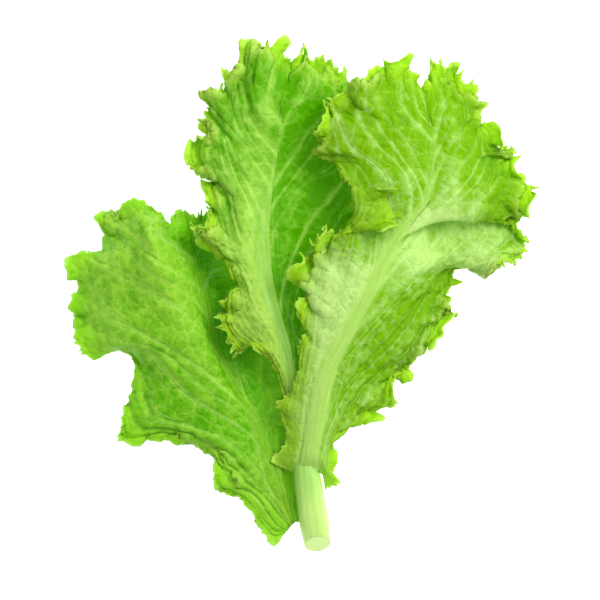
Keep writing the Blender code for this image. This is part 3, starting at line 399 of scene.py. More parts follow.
MIDDLE_LEAF = {
    "name": "middle_leaf",
    "seed": 5,
    "vein_count": {"left": 12, "right": 8},
    "vein_sweep": 0.64,
    "calm_base": (0.0, 0.25),
    "base_sink": 0.0,
    "groove": {"left": 0.2, "right": 0.6},
    "curl": {
        "left": [(0.0, 0.1), (0.14, 0.2), (0.2, 0.4), (0.3, 0.5), (0.45, 0.35), (0.6, 0.4), (0.8, 0.3),
                 (1.0, 0.2)],
        "right": [(0.0, 0.1), (0.3, 0.2), (0.6, 0.3), (0.8, 0.4), (1.0, 0.4)],
    },
    "ledge": {
        "left": [(0.0, 0.0), (0.18, 0.2), (0.24, 0.7), (0.7, 0.7), (0.76, 1.7), (0.94, 1.7), (1.0, 1.0)],
        "right": [(0.0, 0.0), (0.5, 0.0), (0.7, 0.8), (0.85, 1.4), (1.0, 1.0)],
    },
    # The pale band left of the rib is partly the rib's own colour, partly a painted highlight along the rib,
    # and it is painted full towards the base where the rib lies deep in shade.
    "rib_pale": {
        "left": [(0.0, 1.6, 1.0), (0.3, 2.1, 1.0), (0.45, 3.0, 0.8), (0.6, 3.6, 0.5), (0.8, 3.6, 0.0)],
        "right": [(0.0, 0.6, 0.5), (0.2, 0.3, 0.2), (0.35, 0.3, 0.0), (1.0, 0.3, 0.0)],
    },
    "pucker": {"left": 0.9, "right": 0.6},
    # Tone at the rib and at the edge, partly painted light and shade: the left half paler as lit, the right
    # half darker as in the right leaf's shadow.
    "tone_and_painted_light": {
        "left": [(0.0, 0.9, 0.4), (0.25, 1.2, 0.3), (0.4, 1.2, 0.2), (0.6, 0.8, 0.0), (0.8, 0.5, -0.1),
                 (1.0, 0.1, -0.1)],
        "right": [(0.0, 0.0, -0.4), (0.25, 0.0, -0.7), (0.5, 0.2, -0.4), (0.8, 0.1, 0.0), (1.0, 0.1, 0.0)],
    },
    "rib": [
        (0.00, 1.0, -73.3, 6.4), (0.07, 0.0, -60.0, 7.5), (0.14, -1.0, -46.0, 9.0),
        (0.21, -2.5, -32.0, 11.0), (0.28, -5.0, -19.0, 12.5), (0.35, -8.5, -7.0, 13.5),
        (0.42, -11.5, 5.0, 14.0), (0.50, -13.0, 17.0, 14.5), (0.57, -13.5, 29.0, 15.0),
        (0.64, -12.8, 40.0, 15.5), (0.71, -11.5, 51.0, 16.0), (0.78, -10.0, 61.0, 17.0),
        (0.86, -8.5, 70.0, 18.0), (0.93, -8.0, 77.0, 19.0), (1.00, -8.0, 83.0, 20.0),
    ],
    "rib_half_width": [(0.0, 3.6), (0.2, 3.6), (0.5, 3.0), (0.8, 1.8), (1.0, 0.8)],
    "rib_depth": [(0.0, 4.4), (0.2, 4.0), (0.5, 2.8), (0.8, 1.4), (1.0, 0.4)],
    "swing": {
        "left": [(0.0, 0.1), (0.16, 0.5), (0.22, 1.0), (1.0, 1.0)],
        "right": [(0.0, 0.1), (0.3, 0.4), (0.7, 0.8), (1.0, 1.0)],
    },
    "left": [
        (0.35, [
            (0.00, -1.6, -73.4, 6.2), (0.07, -3.0, -59.0, 7.0), (0.14, -4.0, -44.0, 9.0),
            (0.21, -8.0, -28.0, 13.0), (0.28, -14.0, -14.0, 15.0), (0.35, -18.0, -2.0, 17.0),
            (0.42, -20.5, 10.0, 18.0), (0.50, -23.0, 23.0, 18.5), (0.57, -24.0, 35.0, 19.0),
            (0.64, -23.5, 46.0, 19.5), (0.71, -23.0, 57.0, 20.0), (0.78, -22.0, 68.0, 21.0),
            (0.86, -19.0, 79.0, 22.0), (0.93, -15.0, 85.0, 23.0),
        ]),
        (0.70, [
            (0.00, -3.0, -73.4, 5.6), (0.07, -4.5, -58.0, 6.5), (0.14, -6.0, -43.0, 8.5),
            (0.21, -13.0, -24.0, 13.0), (0.28, -24.0, -13.0, 13.0), (0.35, -27.0, 1.0, 15.0),
            (0.42, -28.0, 14.0, 17.0), (0.50, -32.0, 30.0, 17.0), (0.57, -32.0, 46.0, 18.0),
            (0.64, -36.0, 58.0, 18.0), (0.71, -34.0, 70.0, 19.0), (0.78, -31.0, 82.0, 19.5),
            (0.86, -23.0, 93.0, 20.0), (0.93, -14.0, 97.0, 21.0),
        ]),
        (1.00, [
            (0.00, -4.2, -73.4, 5.0), (0.03, -5.0, -66.0, 5.0), (0.07, -6.0, -57.0, 6.0),
            (0.11, -7.0, -47.0, 7.0), (0.15, -7.0, -38.0, 9.0), (0.18, -9.5, -29.0, 11.0),
            (0.21, -15.5, -22.5, 12.5), (0.235, -21.5, -19.4, 13.0), (0.26, -27.5, -23.7, 9.0),
            (0.28, -30.5, -17.0, 10.0), (0.30, -34.8, -9.5, 9.0), (0.32, -32.0, -5.0, 11.0),
            (0.34, -32.5, 2.0, 11.0), (0.365, -25.5, 5.0, 15.0), (0.385, -26.5, 10.0, 15.0),
            (0.41, -31.0, 19.0, 15.0), (0.435, -36.6, 24.5, 15.0), (0.46, -43.0, 28.8, 14.0),
            (0.48, -42.0, 35.0, 14.0), (0.50, -37.8, 38.0, 15.0), (0.525, -38.8, 44.0, 15.0),
            (0.545, -40.2, 48.6, 14.0), (0.57, -36.0, 55.0, 16.0), (0.585, -33.5, 58.5, 17.0),
            (0.60, -39.6, 57.5, 16.0), (0.62, -44.0, 54.8, 15.0), (0.64, -47.8, 60.0, 14.0),
            (0.66, -46.0, 67.5, 14.0), (0.68, -40.0, 69.7, 16.0), (0.70, -38.3, 73.1, 17.0),
            (0.715, -42.0, 74.5, 16.0), (0.735, -40.5, 81.0, 16.0), (0.755, -40.5, 86.5, 15.0),
            (0.78, -34.0, 90.0, 17.0), (0.80, -31.5, 97.5, 15.0), (0.825, -26.0, 101.0, 16.0),
            (0.845, -25.0, 107.0, 13.0), (0.865, -20.2, 110.0, 13.0), (0.885, -16.5, 107.6, 15.0),
            (0.91, -12.0, 108.8, 14.0), (0.935, -8.6, 110.5, 13.0), (0.96, -6.5, 106.5, 14.0),
            (0.98, -5.5, 102.5, 16.0), (1.00, -3.2, 101.0, 17.0),
        ]),
    ],
    "right": [
        (0.35, [
            (0.00, 3.2, -73.4, 5.8), (0.07, 2.8, -60.0, 6.0), (0.14, 2.2, -46.0, 7.5),
            (0.21, 1.5, -30.0, 9.0), (0.28, 0.5, -16.0, 10.0), (0.35, -0.5, -3.0, 11.0),
            (0.42, 0.0, 10.0, 11.0), (0.50, 0.5, 23.0, 11.5), (0.57, 1.5, 36.0, 12.0),
            (0.64, 2.5, 48.0, 12.5), (0.71, 3.0, 60.0, 13.0), (0.78, 3.0, 72.0, 14.0),
            (0.86, 2.0, 82.0, 16.0), (0.93, -1.0, 87.0, 19.0),
        ]),
        (0.70, [
            (0.00, 4.6, -73.4, 4.8), (0.07, 5.0, -60.0, 5.0), (0.14, 4.8, -46.0, 6.0),
            (0.21, 5.0, -31.0, 8.0), (0.28, 6.5, -16.0, 9.0), (0.35, 8.0, -3.0, 9.5),
            (0.42, 11.0, 10.0, 10.0), (0.50, 14.0, 23.0, 11.0), (0.57, 16.0, 36.0, 11.5),
            (0.64, 17.5, 49.0, 12.0), (0.71, 18.0, 62.0, 12.5), (0.78, 16.0, 76.0, 14.0),
            (0.86, 12.0, 88.0, 16.0), (0.93, 5.0, 94.0, 18.0),
        ]),
        (1.00, [
            (0.00, 5.6, -73.4, 4.0), (0.05, 6.0, -67.0, 4.0), (0.11, 6.3, -56.0, 5.0),
            (0.17, 6.5, -43.0, 6.5), (0.23, 7.5, -29.0, 7.5), (0.29, 10.0, -15.0, 8.0),
            (0.35, 13.5, -2.0, 9.0), (0.41, 18.0, 11.0, 10.0), (0.47, 22.0, 24.0, 11.0),
            (0.53, 25.0, 36.0, 11.0), (0.59, 27.5, 48.0, 12.0), (0.65, 29.0, 60.0, 12.0),
            (0.70, 29.0, 72.0, 12.0), (0.74, 28.0, 82.0, 12.0), (0.775, 25.0, 91.0, 12.0),
            (0.80, 22.5, 96.0, 11.0), (0.825, 19.0, 96.5, 12.0), (0.85, 15.0, 98.8, 12.0),
            (0.875, 12.0, 101.5, 12.0), (0.90, 8.5, 102.3, 13.0), (0.925, 4.8, 103.5, 14.0),
            (0.95, 2.0, 107.6, 12.5), (0.975, -1.8, 104.4, 15.0), (1.00, -3.2, 101.0, 17.0),
        ]),
    ],
}

RIGHT_LEAF = {
    "name": "right_leaf",
    "seed": 8,
    "vein_count": {"left": 12, "right": 10},
    "vein_sweep": 0.7,
    "calm_base": (0.02, 0.22),
    "base_sink": 3.4,
    "groove": {"left": 0.9, "right": 0.3},
    "curl": {
        "left": [(0.0, 0.1), (0.1, 0.2), (0.18, 0.3), (0.25, 0.5), (0.34, 0.5), (0.46, 0.2), (0.56, 0.2),
                 (0.62, 0.4), (0.8, 0.4), (1.0, 0.3)],
        "right": [(0.0, 0.2), (0.1, 0.2), (0.3, 0.25), (0.45, 0.3), (0.6, 0.4), (0.7, 0.5), (1.0, 0.4)],
    },
    "ledge": {
        "left": [(0.0, 0.0), (0.16, 0.2), (0.22, 0.8), (0.42, 1.0), (0.47, 0.0), (0.6, 0.0), (0.66, 1.1),
                 (1.0, 1.0)],
        "right": [(0.0, 0.0), (0.1, 0.3), (0.2, 0.8), (0.4, 0.9), (0.6, 0.8), (0.75, 1.2), (1.0, 1.2)],
    },
    "rib_pale": {
        "left": [(0.0, 1.0, 0.8), (0.2, 1.1, 0.85), (0.35, 1.7, 0.95), (0.5, 2.2, 0.95), (0.7, 3.0, 0.6),
                 (0.9, 3.0, 0.0)],
        "right": [(0.0, 1.0, 0.8), (0.3, 1.2, 0.9), (0.5, 1.6, 0.9), (0.6, 2.8, 0.8), (0.75, 3.5, 0.3),
                  (0.9, 3.5, 0.0)],
    },
    "pucker": {"left": 0.6, "right": 1.0},
    # Tone at the rib and at the edge, partly own colour, partly painted light and shade: paler on the left
    # below the flap against its shade, darker at the crease under the fold on the right.
    "tone_and_painted_light": {
        "left": [(0.0, 0.5, 0.2), (0.2, 0.9, 0.0), (0.3, 2.1, -0.1), (0.44, 2.1, -0.1), (0.48, 0.8, -0.2),
                 (0.62, 0.35, -0.3), (0.75, 0.1, -0.3), (0.9, 0.0, -0.2), (1.0, 0.0, -0.2)],
        "right": [(0.0, 0.3, 0.0), (0.12, 0.2, 0.0), (0.25, 0.1, -0.2), (0.4, 0.2, -0.2), (0.48, 0.8, 0.5),
                  (0.53, 0.8, 0.3), (0.555, 0.0, -0.4), (0.575, 1.6, -0.7), (0.65, 0.5, -0.8),
                  (0.85, 0.1, -0.5), (1.0, 0.1, -0.2)],
    },
    "rib": [
        (0.00, 3.4, -73.3, 13.0), (0.08, 6.0, -56.0, 14.5), (0.15, 8.6, -43.0, 16.0),
        (0.23, 12.9, -28.0, 18.0), (0.30, 19.4, -17.2, 20.0), (0.37, 25.8, -5.2, 22.0),
        (0.43, 31.0, 4.3, 23.5), (0.49, 35.7, 15.0, 25.0), (0.55, 40.9, 24.5, 26.0),
        (0.61, 47.3, 33.5, 26.5), (0.67, 53.5, 41.0, 26.5), (0.74, 55.5, 51.6, 26.0),
        (0.81, 56.8, 62.0, 24.5), (0.88, 56.0, 70.0, 23.0), (0.94, 55.0, 76.0, 21.5),
        (1.00, 54.0, 80.0, 20.0),
    ],
    "rib_half_width": [(0.0, 4.8), (0.1, 4.6), (0.22, 4.1), (0.32, 3.4), (0.42, 2.5), (0.5, 1.9), (0.6, 1.3),
                       (0.8, 0.9), (1.0, 0.6)],
    "rib_depth": [(0.0, 4.9), (0.15, 4.7), (0.4, 3.6), (0.55, 2.4), (0.8, 1.2), (1.0, 0.4)],
    "swing": {
        "left": [(0.0, 0.1), (0.2, 0.8), (0.42, 1.0), (0.47, 0.6), (0.6, 0.6), (0.65, 1.0), (1.0, 1.0)],
        "right": [(0.0, 0.2), (0.1, 0.8), (0.2, 1.0), (1.0, 1.0)],
    },
    "left": [
        (0.35, [
            (0.00, 0.0, -73.5, 12.6), (0.08, 1.5, -58.0, 13.5), (0.15, 3.0, -42.0, 15.0),
            (0.23, 7.0, -26.0, 18.0), (0.30, 12.0, -13.0, 21.0), (0.37, 17.0, -1.0, 24.0),
            (0.43, 22.0, 9.0, 25.5), (0.49, 26.5, 19.0, 25.5), (0.55, 31.0, 30.0, 25.0),
            (0.61, 36.0, 42.0, 26.0), (0.67, 40.0, 52.0, 28.0), (0.74, 41.0, 62.0, 27.0),
            (0.81, 42.0, 72.0, 26.0), (0.88, 44.0, 79.0, 24.0), (0.94, 49.0, 82.0, 22.0),
        ]),
        (0.70, [
            (0.00, -1.3, -73.6, 11.6), (0.08, -2.5, -58.0, 11.5), (0.15, -3.0, -42.0, 12.5),
            (0.23, 2.0, -23.0, 17.5), (0.30, 5.0, -8.0, 21.0), (0.37, 7.0, 7.0, 24.0),
            (0.43, 12.0, 18.0, 26.0), (0.49, 18.0, 28.0, 28.5), (0.55, 20.5, 38.0, 29.5),
            (0.61, 22.0, 48.0, 29.0), (0.67, 20.0, 58.0, 28.0), (0.74, 20.0, 70.0, 27.0),
            (0.81, 26.0, 82.0, 25.0), (0.88, 36.0, 90.0, 22.0), (0.94, 44.0, 92.0, 20.0),
        ]),
        (1.00, [
            (0.00, -2.6, -73.6, 10.5), (0.015, -8.0, -71.5, 8.0), (0.03, -12.0, -69.0, 5.0),
            (0.05, -7.5, -62.5, 8.0), (0.075, -5.2, -56.0, 9.5), (0.095, -7.3, -51.6, 8.0),
            (0.115, -10.0, -46.4, 7.0), (0.135, -8.2, -43.0, 8.5), (0.155, -4.3, -38.7, 11.0),
            (0.18, -1.7, -33.5, 14.0), (0.205, 0.0, -26.7, 16.0), (0.235, -0.5, -19.0, 17.0),
            (0.265, 3.0, -11.0, 19.0), (0.29, -0.5, -3.0, 18.0), (0.315, 2.5, 4.0, 20.0),
            (0.34, 4.5, 11.0, 21.0), (0.36, -1.0, 17.0, 20.0), (0.385, 5.0, 20.5, 22.0),
            (0.41, 8.0, 26.0, 22.0), (0.435, 15.0, 29.0, 24.0), (0.46, 21.0, 31.0, 26.0),
            (0.49, 30.0, 30.5, 30.0), (0.515, 39.5, 32.0, 31.5), (0.535, 45.0, 38.0, 32.0),
            (0.555, 42.0, 43.5, 32.0), (0.58, 33.0, 46.5, 31.5), (0.61, 24.5, 47.5, 29.5),
            (0.635, 19.5, 52.0, 27.0), (0.66, 15.0, 58.0, 26.0), (0.685, 8.6, 60.2, 24.0),
            (0.71, 7.3, 69.0, 23.0), (0.74, 8.8, 77.5, 23.0), (0.77, 11.0, 84.0, 22.5),
            (0.80, 19.0, 88.0, 22.0), (0.825, 25.0, 93.0, 20.0), (0.85, 32.0, 97.6, 18.0),
            (0.88, 36.6, 99.0, 17.0), (0.905, 40.9, 102.8, 16.0), (0.93, 47.0, 101.0, 16.0),
            (0.945, 45.0, 98.0, 18.0), (0.965, 49.6, 96.3, 18.0), (0.985, 50.2, 91.5, 18.0),
            (1.00, 52.3, 88.0, 17.0),
        ]),
    ],
    "right": [
        (0.35, [
            (0.00, 9.0, -74.2, 10.5), (0.06, 10.8, -65.0, 11.5), (0.12, 14.0, -50.0, 12.0),
            (0.18, 20.0, -35.0, 13.5), (0.24, 28.0, -22.0, 15.0), (0.30, 36.0, -9.0, 17.0),
            (0.36, 43.0, 1.0, 18.5), (0.42, 49.0, 9.0, 19.0), (0.48, 55.0, 18.0, 18.0),
            (0.52, 59.0, 28.0, 16.0), (0.545, 61.0, 38.0, 15.5), (0.565, 62.0, 34.5, 22.0),
            (0.60, 64.0, 41.0, 25.0), (0.66, 68.0, 50.0, 24.0), (0.74, 67.0, 62.0, 22.0),
            (0.82, 65.0, 74.0, 20.0), (0.90, 62.0, 82.0, 19.0),
        ]),
        (0.70, [
            (0.00, 10.4, -78.0, 7.0), (0.06, 12.8, -67.0, 7.0), (0.12, 20.0, -52.0, 6.0),
            (0.18, 32.0, -36.0, 6.5), (0.24, 45.0, -22.0, 7.0), (0.30, 52.0, -7.0, 8.0),
            (0.36, 58.0, 5.0, 9.0), (0.42, 65.0, 13.0, 8.5), (0.48, 77.0, 19.5, 8.0),
            (0.52, 81.0, 28.0, 7.5), (0.545, 82.0, 36.5, 8.0), (0.565, 80.0, 33.5, 14.0),
            (0.60, 82.0, 42.0, 17.0), (0.66, 83.0, 53.0, 15.0), (0.74, 77.0, 66.0, 14.0),
            (0.82, 71.0, 78.0, 13.0), (0.90, 63.0, 89.0, 14.0),
        ]),
        (1.00, [
            (0.00, 10.8, -81.5, 4.0), (0.02, 17.5, -79.0, 2.5), (0.04, 14.8, -74.0, 3.0),
            (0.06, 15.0, -66.0, 3.0), (0.08, 16.0, -57.0, 3.0), (0.10, 22.0, -53.5, 2.0),
            (0.12, 30.0, -49.5, 1.5), (0.14, 36.5, -48.0, 1.0), (0.155, 40.2, -41.0, 1.5),
            (0.17, 40.5, -33.0, 3.5), (0.19, 48.0, -32.0, 2.5), (0.21, 48.5, -22.5, 3.0),
            (0.23, 52.0, -18.0, 2.5), (0.25, 58.5, -14.0, 2.0), (0.27, 63.5, -7.0, 2.0),
            (0.29, 62.0, -4.0, 3.0), (0.31, 64.0, -1.0, 3.0), (0.335, 63.5, 4.5, 3.0),
            (0.36, 69.0, 7.0, 3.0), (0.385, 65.5, 10.0, 4.0), (0.41, 66.5, 14.5, 5.0),
            (0.44, 77.0, 17.0, 4.0), (0.47, 84.0, 14.2, 2.0), (0.50, 90.0, 14.7, 2.0),
            (0.525, 96.5, 20.0, 2.0), (0.55, 97.0, 27.0, 3.0), (0.575, 92.6, 33.0, 6.0),
            (0.60, 94.6, 36.5, 4.5), (0.63, 98.5, 46.5, 1.2), (0.655, 95.9, 50.5, 2.0),
            (0.68, 92.5, 56.5, 3.0), (0.705, 92.0, 62.5, 1.8), (0.73, 83.5, 66.5, 5.5),
            (0.75, 84.0, 72.0, 8.0), (0.775, 77.0, 74.8, 10.0), (0.80, 76.2, 79.5, 10.0),
            (0.825, 80.8, 86.6, 7.5), (0.845, 74.3, 86.8, 9.0), (0.86, 74.4, 91.5, 8.0),
            (0.88, 71.0, 94.0, 9.0), (0.90, 67.5, 99.5, 9.0), (0.925, 61.0, 98.8, 12.0),
            (0.95, 57.0, 102.8, 12.0), (0.97, 54.0, 98.5, 14.0), (0.985, 54.6, 92.5, 16.0),
            (1.00, 52.3, 88.0, 17.0),
        ]),
    ],
}


def slopes_through(knots, points):
    """Slope at every knot: that of the parabola through the knot and its two neighbours."""
    step = np.diff(knots)
    step = step.reshape((-1,) + (1,) * (points.ndim - 1))
    chord = np.diff(points, axis=0) / step
    slope = np.empty_like(points)
    slope[1:-1] = (chord[:-1] * step[1:] + chord[1:] * step[:-1]) / (step[:-1] + step[1:])
    slope[0] = chord[0]
    slope[-1] = chord[-1]
    return slope


def blend_cubic(start, end, start_slope, end_slope, length, part):
    """Cubic from start to end with the given slopes, at part (0 to 1) of its length."""
    square = part * part
    cube = square * part
    return (
        start * (2 * cube - 3 * square + 1)
        + start_slope * length * (cube - 2 * square + part)
        + end * (3 * square - 2 * cube)
        + end_slope * length * (cube - square)
    )


def curve_through(listed, at):
    """Smooth curve through rows of (knot, values...), read at the given places."""
    table = np.array(listed, dtype=float)
    knots = table[:, 0]
    points = table[:, 1:]
    slope = slopes_through(knots, points)
    i = np.clip(np.searchsorted(knots, at, side="right") - 1, 0, len(knots) - 2)
    length = (knots[i + 1] - knots[i])[:, None]
    part = (at - knots[i])[:, None] / length
    return blend_cubic(points[i], points[i + 1], slope[i], slope[i + 1], length, part)


def smooth_step(low, high, value):
    """0 below low, 1 above high, and the smooth cubic 3t^2 - 2t^3 between."""
    part = np.clip((value - low) / (high - low), 0.0, 1.0)
    return part * part * (3.0 - 2.0 * part)


def spread_columns(leaf):
    """Places of the columns along the leaf, closer together where its two edges are longer."""
    fine = np.linspace(0.0, 1.0, EDGE_SAMPLES)
    reach = np.zeros(len(fine) - 1)
    for side in ("left", "right"):
        edge = curve_through(leaf[side][-1][1], fine)
        reach += np.linalg.norm(np.diff(edge, axis=0), axis=1)
    walked = np.concatenate([[0.0], np.cumsum(reach)])
    return np.interp(np.linspace(0.0, walked[-1], NET_COLUMNS + 1), walked, fine)


def smooth_along(points, spread):
    """Weighted mean of each point's neighbours along a curve, whose two ends stay where they are."""
    reach = int(SMOOTHING_REACH * spread)
    weights = np.exp(-0.5 * (np.arange(-reach, reach + 1) / spread) ** 2)
    weights /= weights.sum()
    before = 2 * points[0] - points[reach:0:-1]
    after = 2 * points[-1] - points[-2:-reach - 2:-1]
    padded = np.concatenate([before, points, after])
    return np.stack([np.convolve(padded[:, k], weights, mode="valid") for k in range(3)], axis=1)


def walked_length(points):
    """Distance walked along a curve from its first point to each of its points."""
    steps = np.linalg.norm(np.diff(points, axis=0), axis=1)
    return np.concatenate([[0.0], np.cumsum(steps)])


def seeded_ripple(place, wavelength, random):
    """Sum of three sines near the wavelength, of seeded phase, from about -1 to 1."""
    total = np.zeros_like(place)
    for stretch in RIPPLE_STRETCHES:
        total += np.sin(2 * math.pi * place / (wavelength * stretch) + random.uniform(0, 2 * math.pi))
    return total / RIPPLE_SUM


def crumple(points, wavelength, random):
    """Sum of eight plane waves through space in seeded directions, from about -1 to 1."""
    total = np.zeros(points.shape[:-1])
    for _ in range(CRUMPLE_SINES):
        direction = random.normal(size=3)
        direction *= 2 * math.pi / wavelength / np.linalg.norm(direction)
        total += np.sin(points @ direction + random.uniform(0, 2 * math.pi))
    return total / CRUMPLE_SUM


def edge_curves(leaf, columns):
    """The whole edge, left then right, as a calm line, its lobes, and the finer notches."""
    left = curve_through(leaf["left"][-1][1], columns)
    right = curve_through(leaf["right"][-1][1], columns)
    whole = np.concatenate([left, right[-2::-1]])
    spacing = walked_length(whole)[-1] / (len(whole) - 1)
    calm = smooth_along(whole, EDGE_SMOOTHING_WIDE / spacing)
    lobed = smooth_along(whole, EDGE_SMOOTHING_NARROW / spacing)
    return calm, lobed - calm, whole - lobed


def blade_shares():
    """Places of the rows between the rib (0) and the edge (1), closer together towards the edge."""
    shares = [np.array([0.0])]
    for reach, rows, _ in ROW_BANDS:
        shares.append(np.linspace(shares[-1][-1], reach, rows + 1)[1:])
    return np.concatenate(shares[1:])


def row_places(length, half_width):
    """Places of the rows on each column: the first few within the rib, the rest out to the edge."""
    rib_share = np.minimum(half_width / length, RIB_GREATEST_SHARE)[:, None]
    within = np.linspace(0.0, 1.0, RIB_ROWS + 1)[None, :] * rib_share
    return np.concatenate([within, rib_share + (1.0 - rib_share) * blade_shares()[None, :]], axis=1)


def read_rails(knots, rails, places):
    """Smooth curve across the rails in every column, read at that column's own places."""
    slope = slopes_through(knots, rails)
    i = np.clip(np.searchsorted(knots, places, side="right") - 1, 0, len(knots) - 2)
    column = np.arange(places.shape[0])[:, None]
    length = (knots[i + 1] - knots[i])[:, :, None]
    part = (places - knots[i])[:, :, None] / length
    return blend_cubic(
        rails[i, column], rails[i + 1, column], slope[i, column], slope[i + 1, column], length, part
    )


def calm_side(leaf, side, columns, rib, edge, lobes, notches):
    """One side of a leaf before its edge is waved: a net of columns by rows, with each row's place."""
    knots = [0.0]
    rails = [rib]
    for place, listed in leaf[side][:-1]:
        tip = rib[-1] + (edge[-1] - rib[-1]) * place
        rails.append(curve_through(listed + [(1.0, *tip)], columns))
        knots.append(place)
    knots.append(1.0)
    rails.append(edge)
    rails = np.array(rails)
    length = np.linalg.norm(np.diff(rails, axis=0), axis=2).sum(axis=0)
    half_width = curve_through(leaf["rib_half_width"], columns)[:, 0]
    places = row_places(length, half_width)
    net = read_rails(np.array(knots), rails, places)
    net += lobes[:, None, :] * places[:, :, None] ** LOBE_RISE_POWER
    net += notches[:, None, :] * places[:, :, None] ** NOTCH_RISE_POWER
    return net, places, length, half_width


def unit(vectors):
    """The vectors made 1 long; one without length stays 0."""
    return vectors / np.maximum(np.linalg.norm(vectors, axis=-1, keepdims=True), NO_LENGTH)


def net_normals(net, flip):
    """Unit normals of a net, upwards on a flat leaf."""
    along = np.gradient(net, axis=0)
    across = np.gradient(net, axis=1)
    normal = np.cross(along, across) * flip
    return unit(normal)


def edge_ramp(places, length, band, power):
    """0 further than the band from the edge, rising as a power to 1 at the edge."""
    from_edge = (1.0 - places) * length[:, None]
    widest = WIDEST_WAVED_SHARE * length
    return np.clip(1.0 - from_edge / np.minimum(band, widest)[:, None], 0.0, 1.0) ** power


def wave_side(net, places, length, edge_place, waves, curl, teeth, flip):
    """Swing each vein's outer stretch up and down, more towards the edge, and lengthen it at the teeth.

    With every swing, sin(phase), goes a shift along the edge of -sin(2 phase), which folds the frill over.
    The curl lifts the whole band. What it draws in is given back, so the leaf keeps its outline.
    """
    normal = net_normals(net, flip)
    along = unit(np.gradient(net, axis=0) * flip)
    steps = np.diff(net, axis=1)
    size = np.linalg.norm(steps, axis=2, keepdims=True)
    outward = unit(steps)
    calmer_when_narrow = np.minimum(1.0, length / FULL_WAVE_LENGTH) ** NARROW_CALM_POWER
    from_edge = (1.0 - places) * length[:, None]
    swing = edge_ramp(places, length, CURL_BAND, 1.0) * (curl * calmer_when_narrow)[:, None]
    shift = np.zeros(places.shape)
    frill = np.zeros(places.shape)
    for (wavelength, greatest, band, twist), phase, strength, turn in waves:
        angle = (2 * math.pi * edge_place / wavelength + phase)[:, None]
        angle = angle + twist * turn[:, None] * from_edge / band
        ramp = edge_ramp(places, length, band, WAVE_RISE_POWER)
        ramp = ramp * (greatest * strength * calmer_when_narrow)[:, None]
        swing += ramp * np.sin(angle)
        frill += ramp * np.sin(angle)
        shift -= ramp * np.sin(2 * angle) * FOLD_OVER
    swing = 0.5 * (swing[:, 1:] + swing[:, :-1])[:, :, None]
    steepest = np.where(swing > 0.0, STEEPEST_RISE, STEEPEST_FALL)
    swing = steepest * np.tanh(swing / steepest)
    shift = 0.5 * (shift[:, 1:] + shift[:, :-1])[:, :, None]
    mean_normal = 0.5 * (normal[:, 1:] + normal[:, :-1])
    mean_along = 0.5 * (along[:, 1:] + along[:, :-1])
    stretch = 1.0 + TOOTH_REACH * edge_ramp(places, length, TOOTH_BAND, 1.0) * teeth[:, None]
    moved = np.cos(swing) * outward + np.sin(swing) * mean_normal + shift * mean_along
    moved = size * stretch[:, 1:, None] * moved
    waved = net.copy()
    waved[:, 1:] = net[:, :1] + np.cumsum(moved, axis=1)
    spacing = walked_length(net[:, -1])[-1] / NET_COLUMNS
    drift = smooth_along(net[:, -1] - waved[:, -1], DRIFT_SMOOTHING / spacing)
    waved[:, :, :2] += drift[:, None, :2] * places[:, :, None] ** DRIFT_RISE_POWER
    return waved, frill


def fold_ledge(net, places, length, strength, wander, flip):
    """Fold the blade over itself in an S some way in from its edge, and give how near the fold line lies,
    for a highlight painted along it.

    With s the distance from the fold line, positive inside, the blade is pushed outwards by the overlap
    times e^(-s/reach) inside and a steep smooth fall to nothing outside, and raised in the same way.
    """
    from_edge = (1.0 - places) * length[:, None]
    inside = from_edge - (LEDGE_FROM_EDGE + wander)[:, None]
    behind = np.maximum(inside, 0.0)
    pushed = np.where(inside > 0.0, np.exp(-behind / PUSH_REACH), smooth_step(-PUSH_FALL, 0.0, inside))
    raised = np.where(inside > 0.0, np.exp(-behind / LIFT_REACH), smooth_step(-LIFT_FALL, 0.0, inside))
    wide_enough = smooth_step(*LEDGE_WIDTHS, length)
    amount = np.clip(strength * wide_enough, 0.0, GREATEST_LEDGE)[:, None]
    outward = unit(np.gradient(net, axis=1))
    normal = net_normals(net, flip)
    folded = net + outward * (pushed * amount * LEDGE_OVERLAP)[:, :, None]
    folded += normal * (raised * amount * LEDGE_HEIGHT)[:, :, None]
    return folded, np.exp(-(inside / LEDGE_HIGHLIGHT_WIDTH) ** 2) * np.minimum(amount, 1.0)


def pucker_height(phase, places, unit_width, random):
    """Blade puffed up between the veins: a dip at every main vein and along its two side veins.

    A main vein lies at each whole phase. Its side veins leave it at SIDE_VEIN_START and part from it
    towards the edge. Each dip is one minus a bell curve, and is deeper where the veins stand wider apart.
    """
    from_main = np.abs(phase - np.round(phase))
    spread = np.clip((places - SIDE_VEIN_START) / (1.0 - SIDE_VEIN_START), 0.0, 1.0) ** SIDE_VEIN_POWER
    from_side = np.abs(from_main - SIDE_VEIN_SPREAD * spread)
    main = 1.0 - np.exp(-(from_main / MAIN_DIP_WIDTH) ** 2)
    side = (1.0 - np.exp(-(from_side / SIDE_DIP_WIDTH) ** 2)) * spread
    height = np.minimum(unit_width * (MAIN_PUCKER * main + SIDE_PUCKER * side), GREATEST_PUCKER)
    boldness = random.uniform(*PUCKER_BOLDNESS, MOST_VEINS)[np.floor(phase).astype(int)]
    return height * boldness * smooth_step(*PUCKER_START, places)


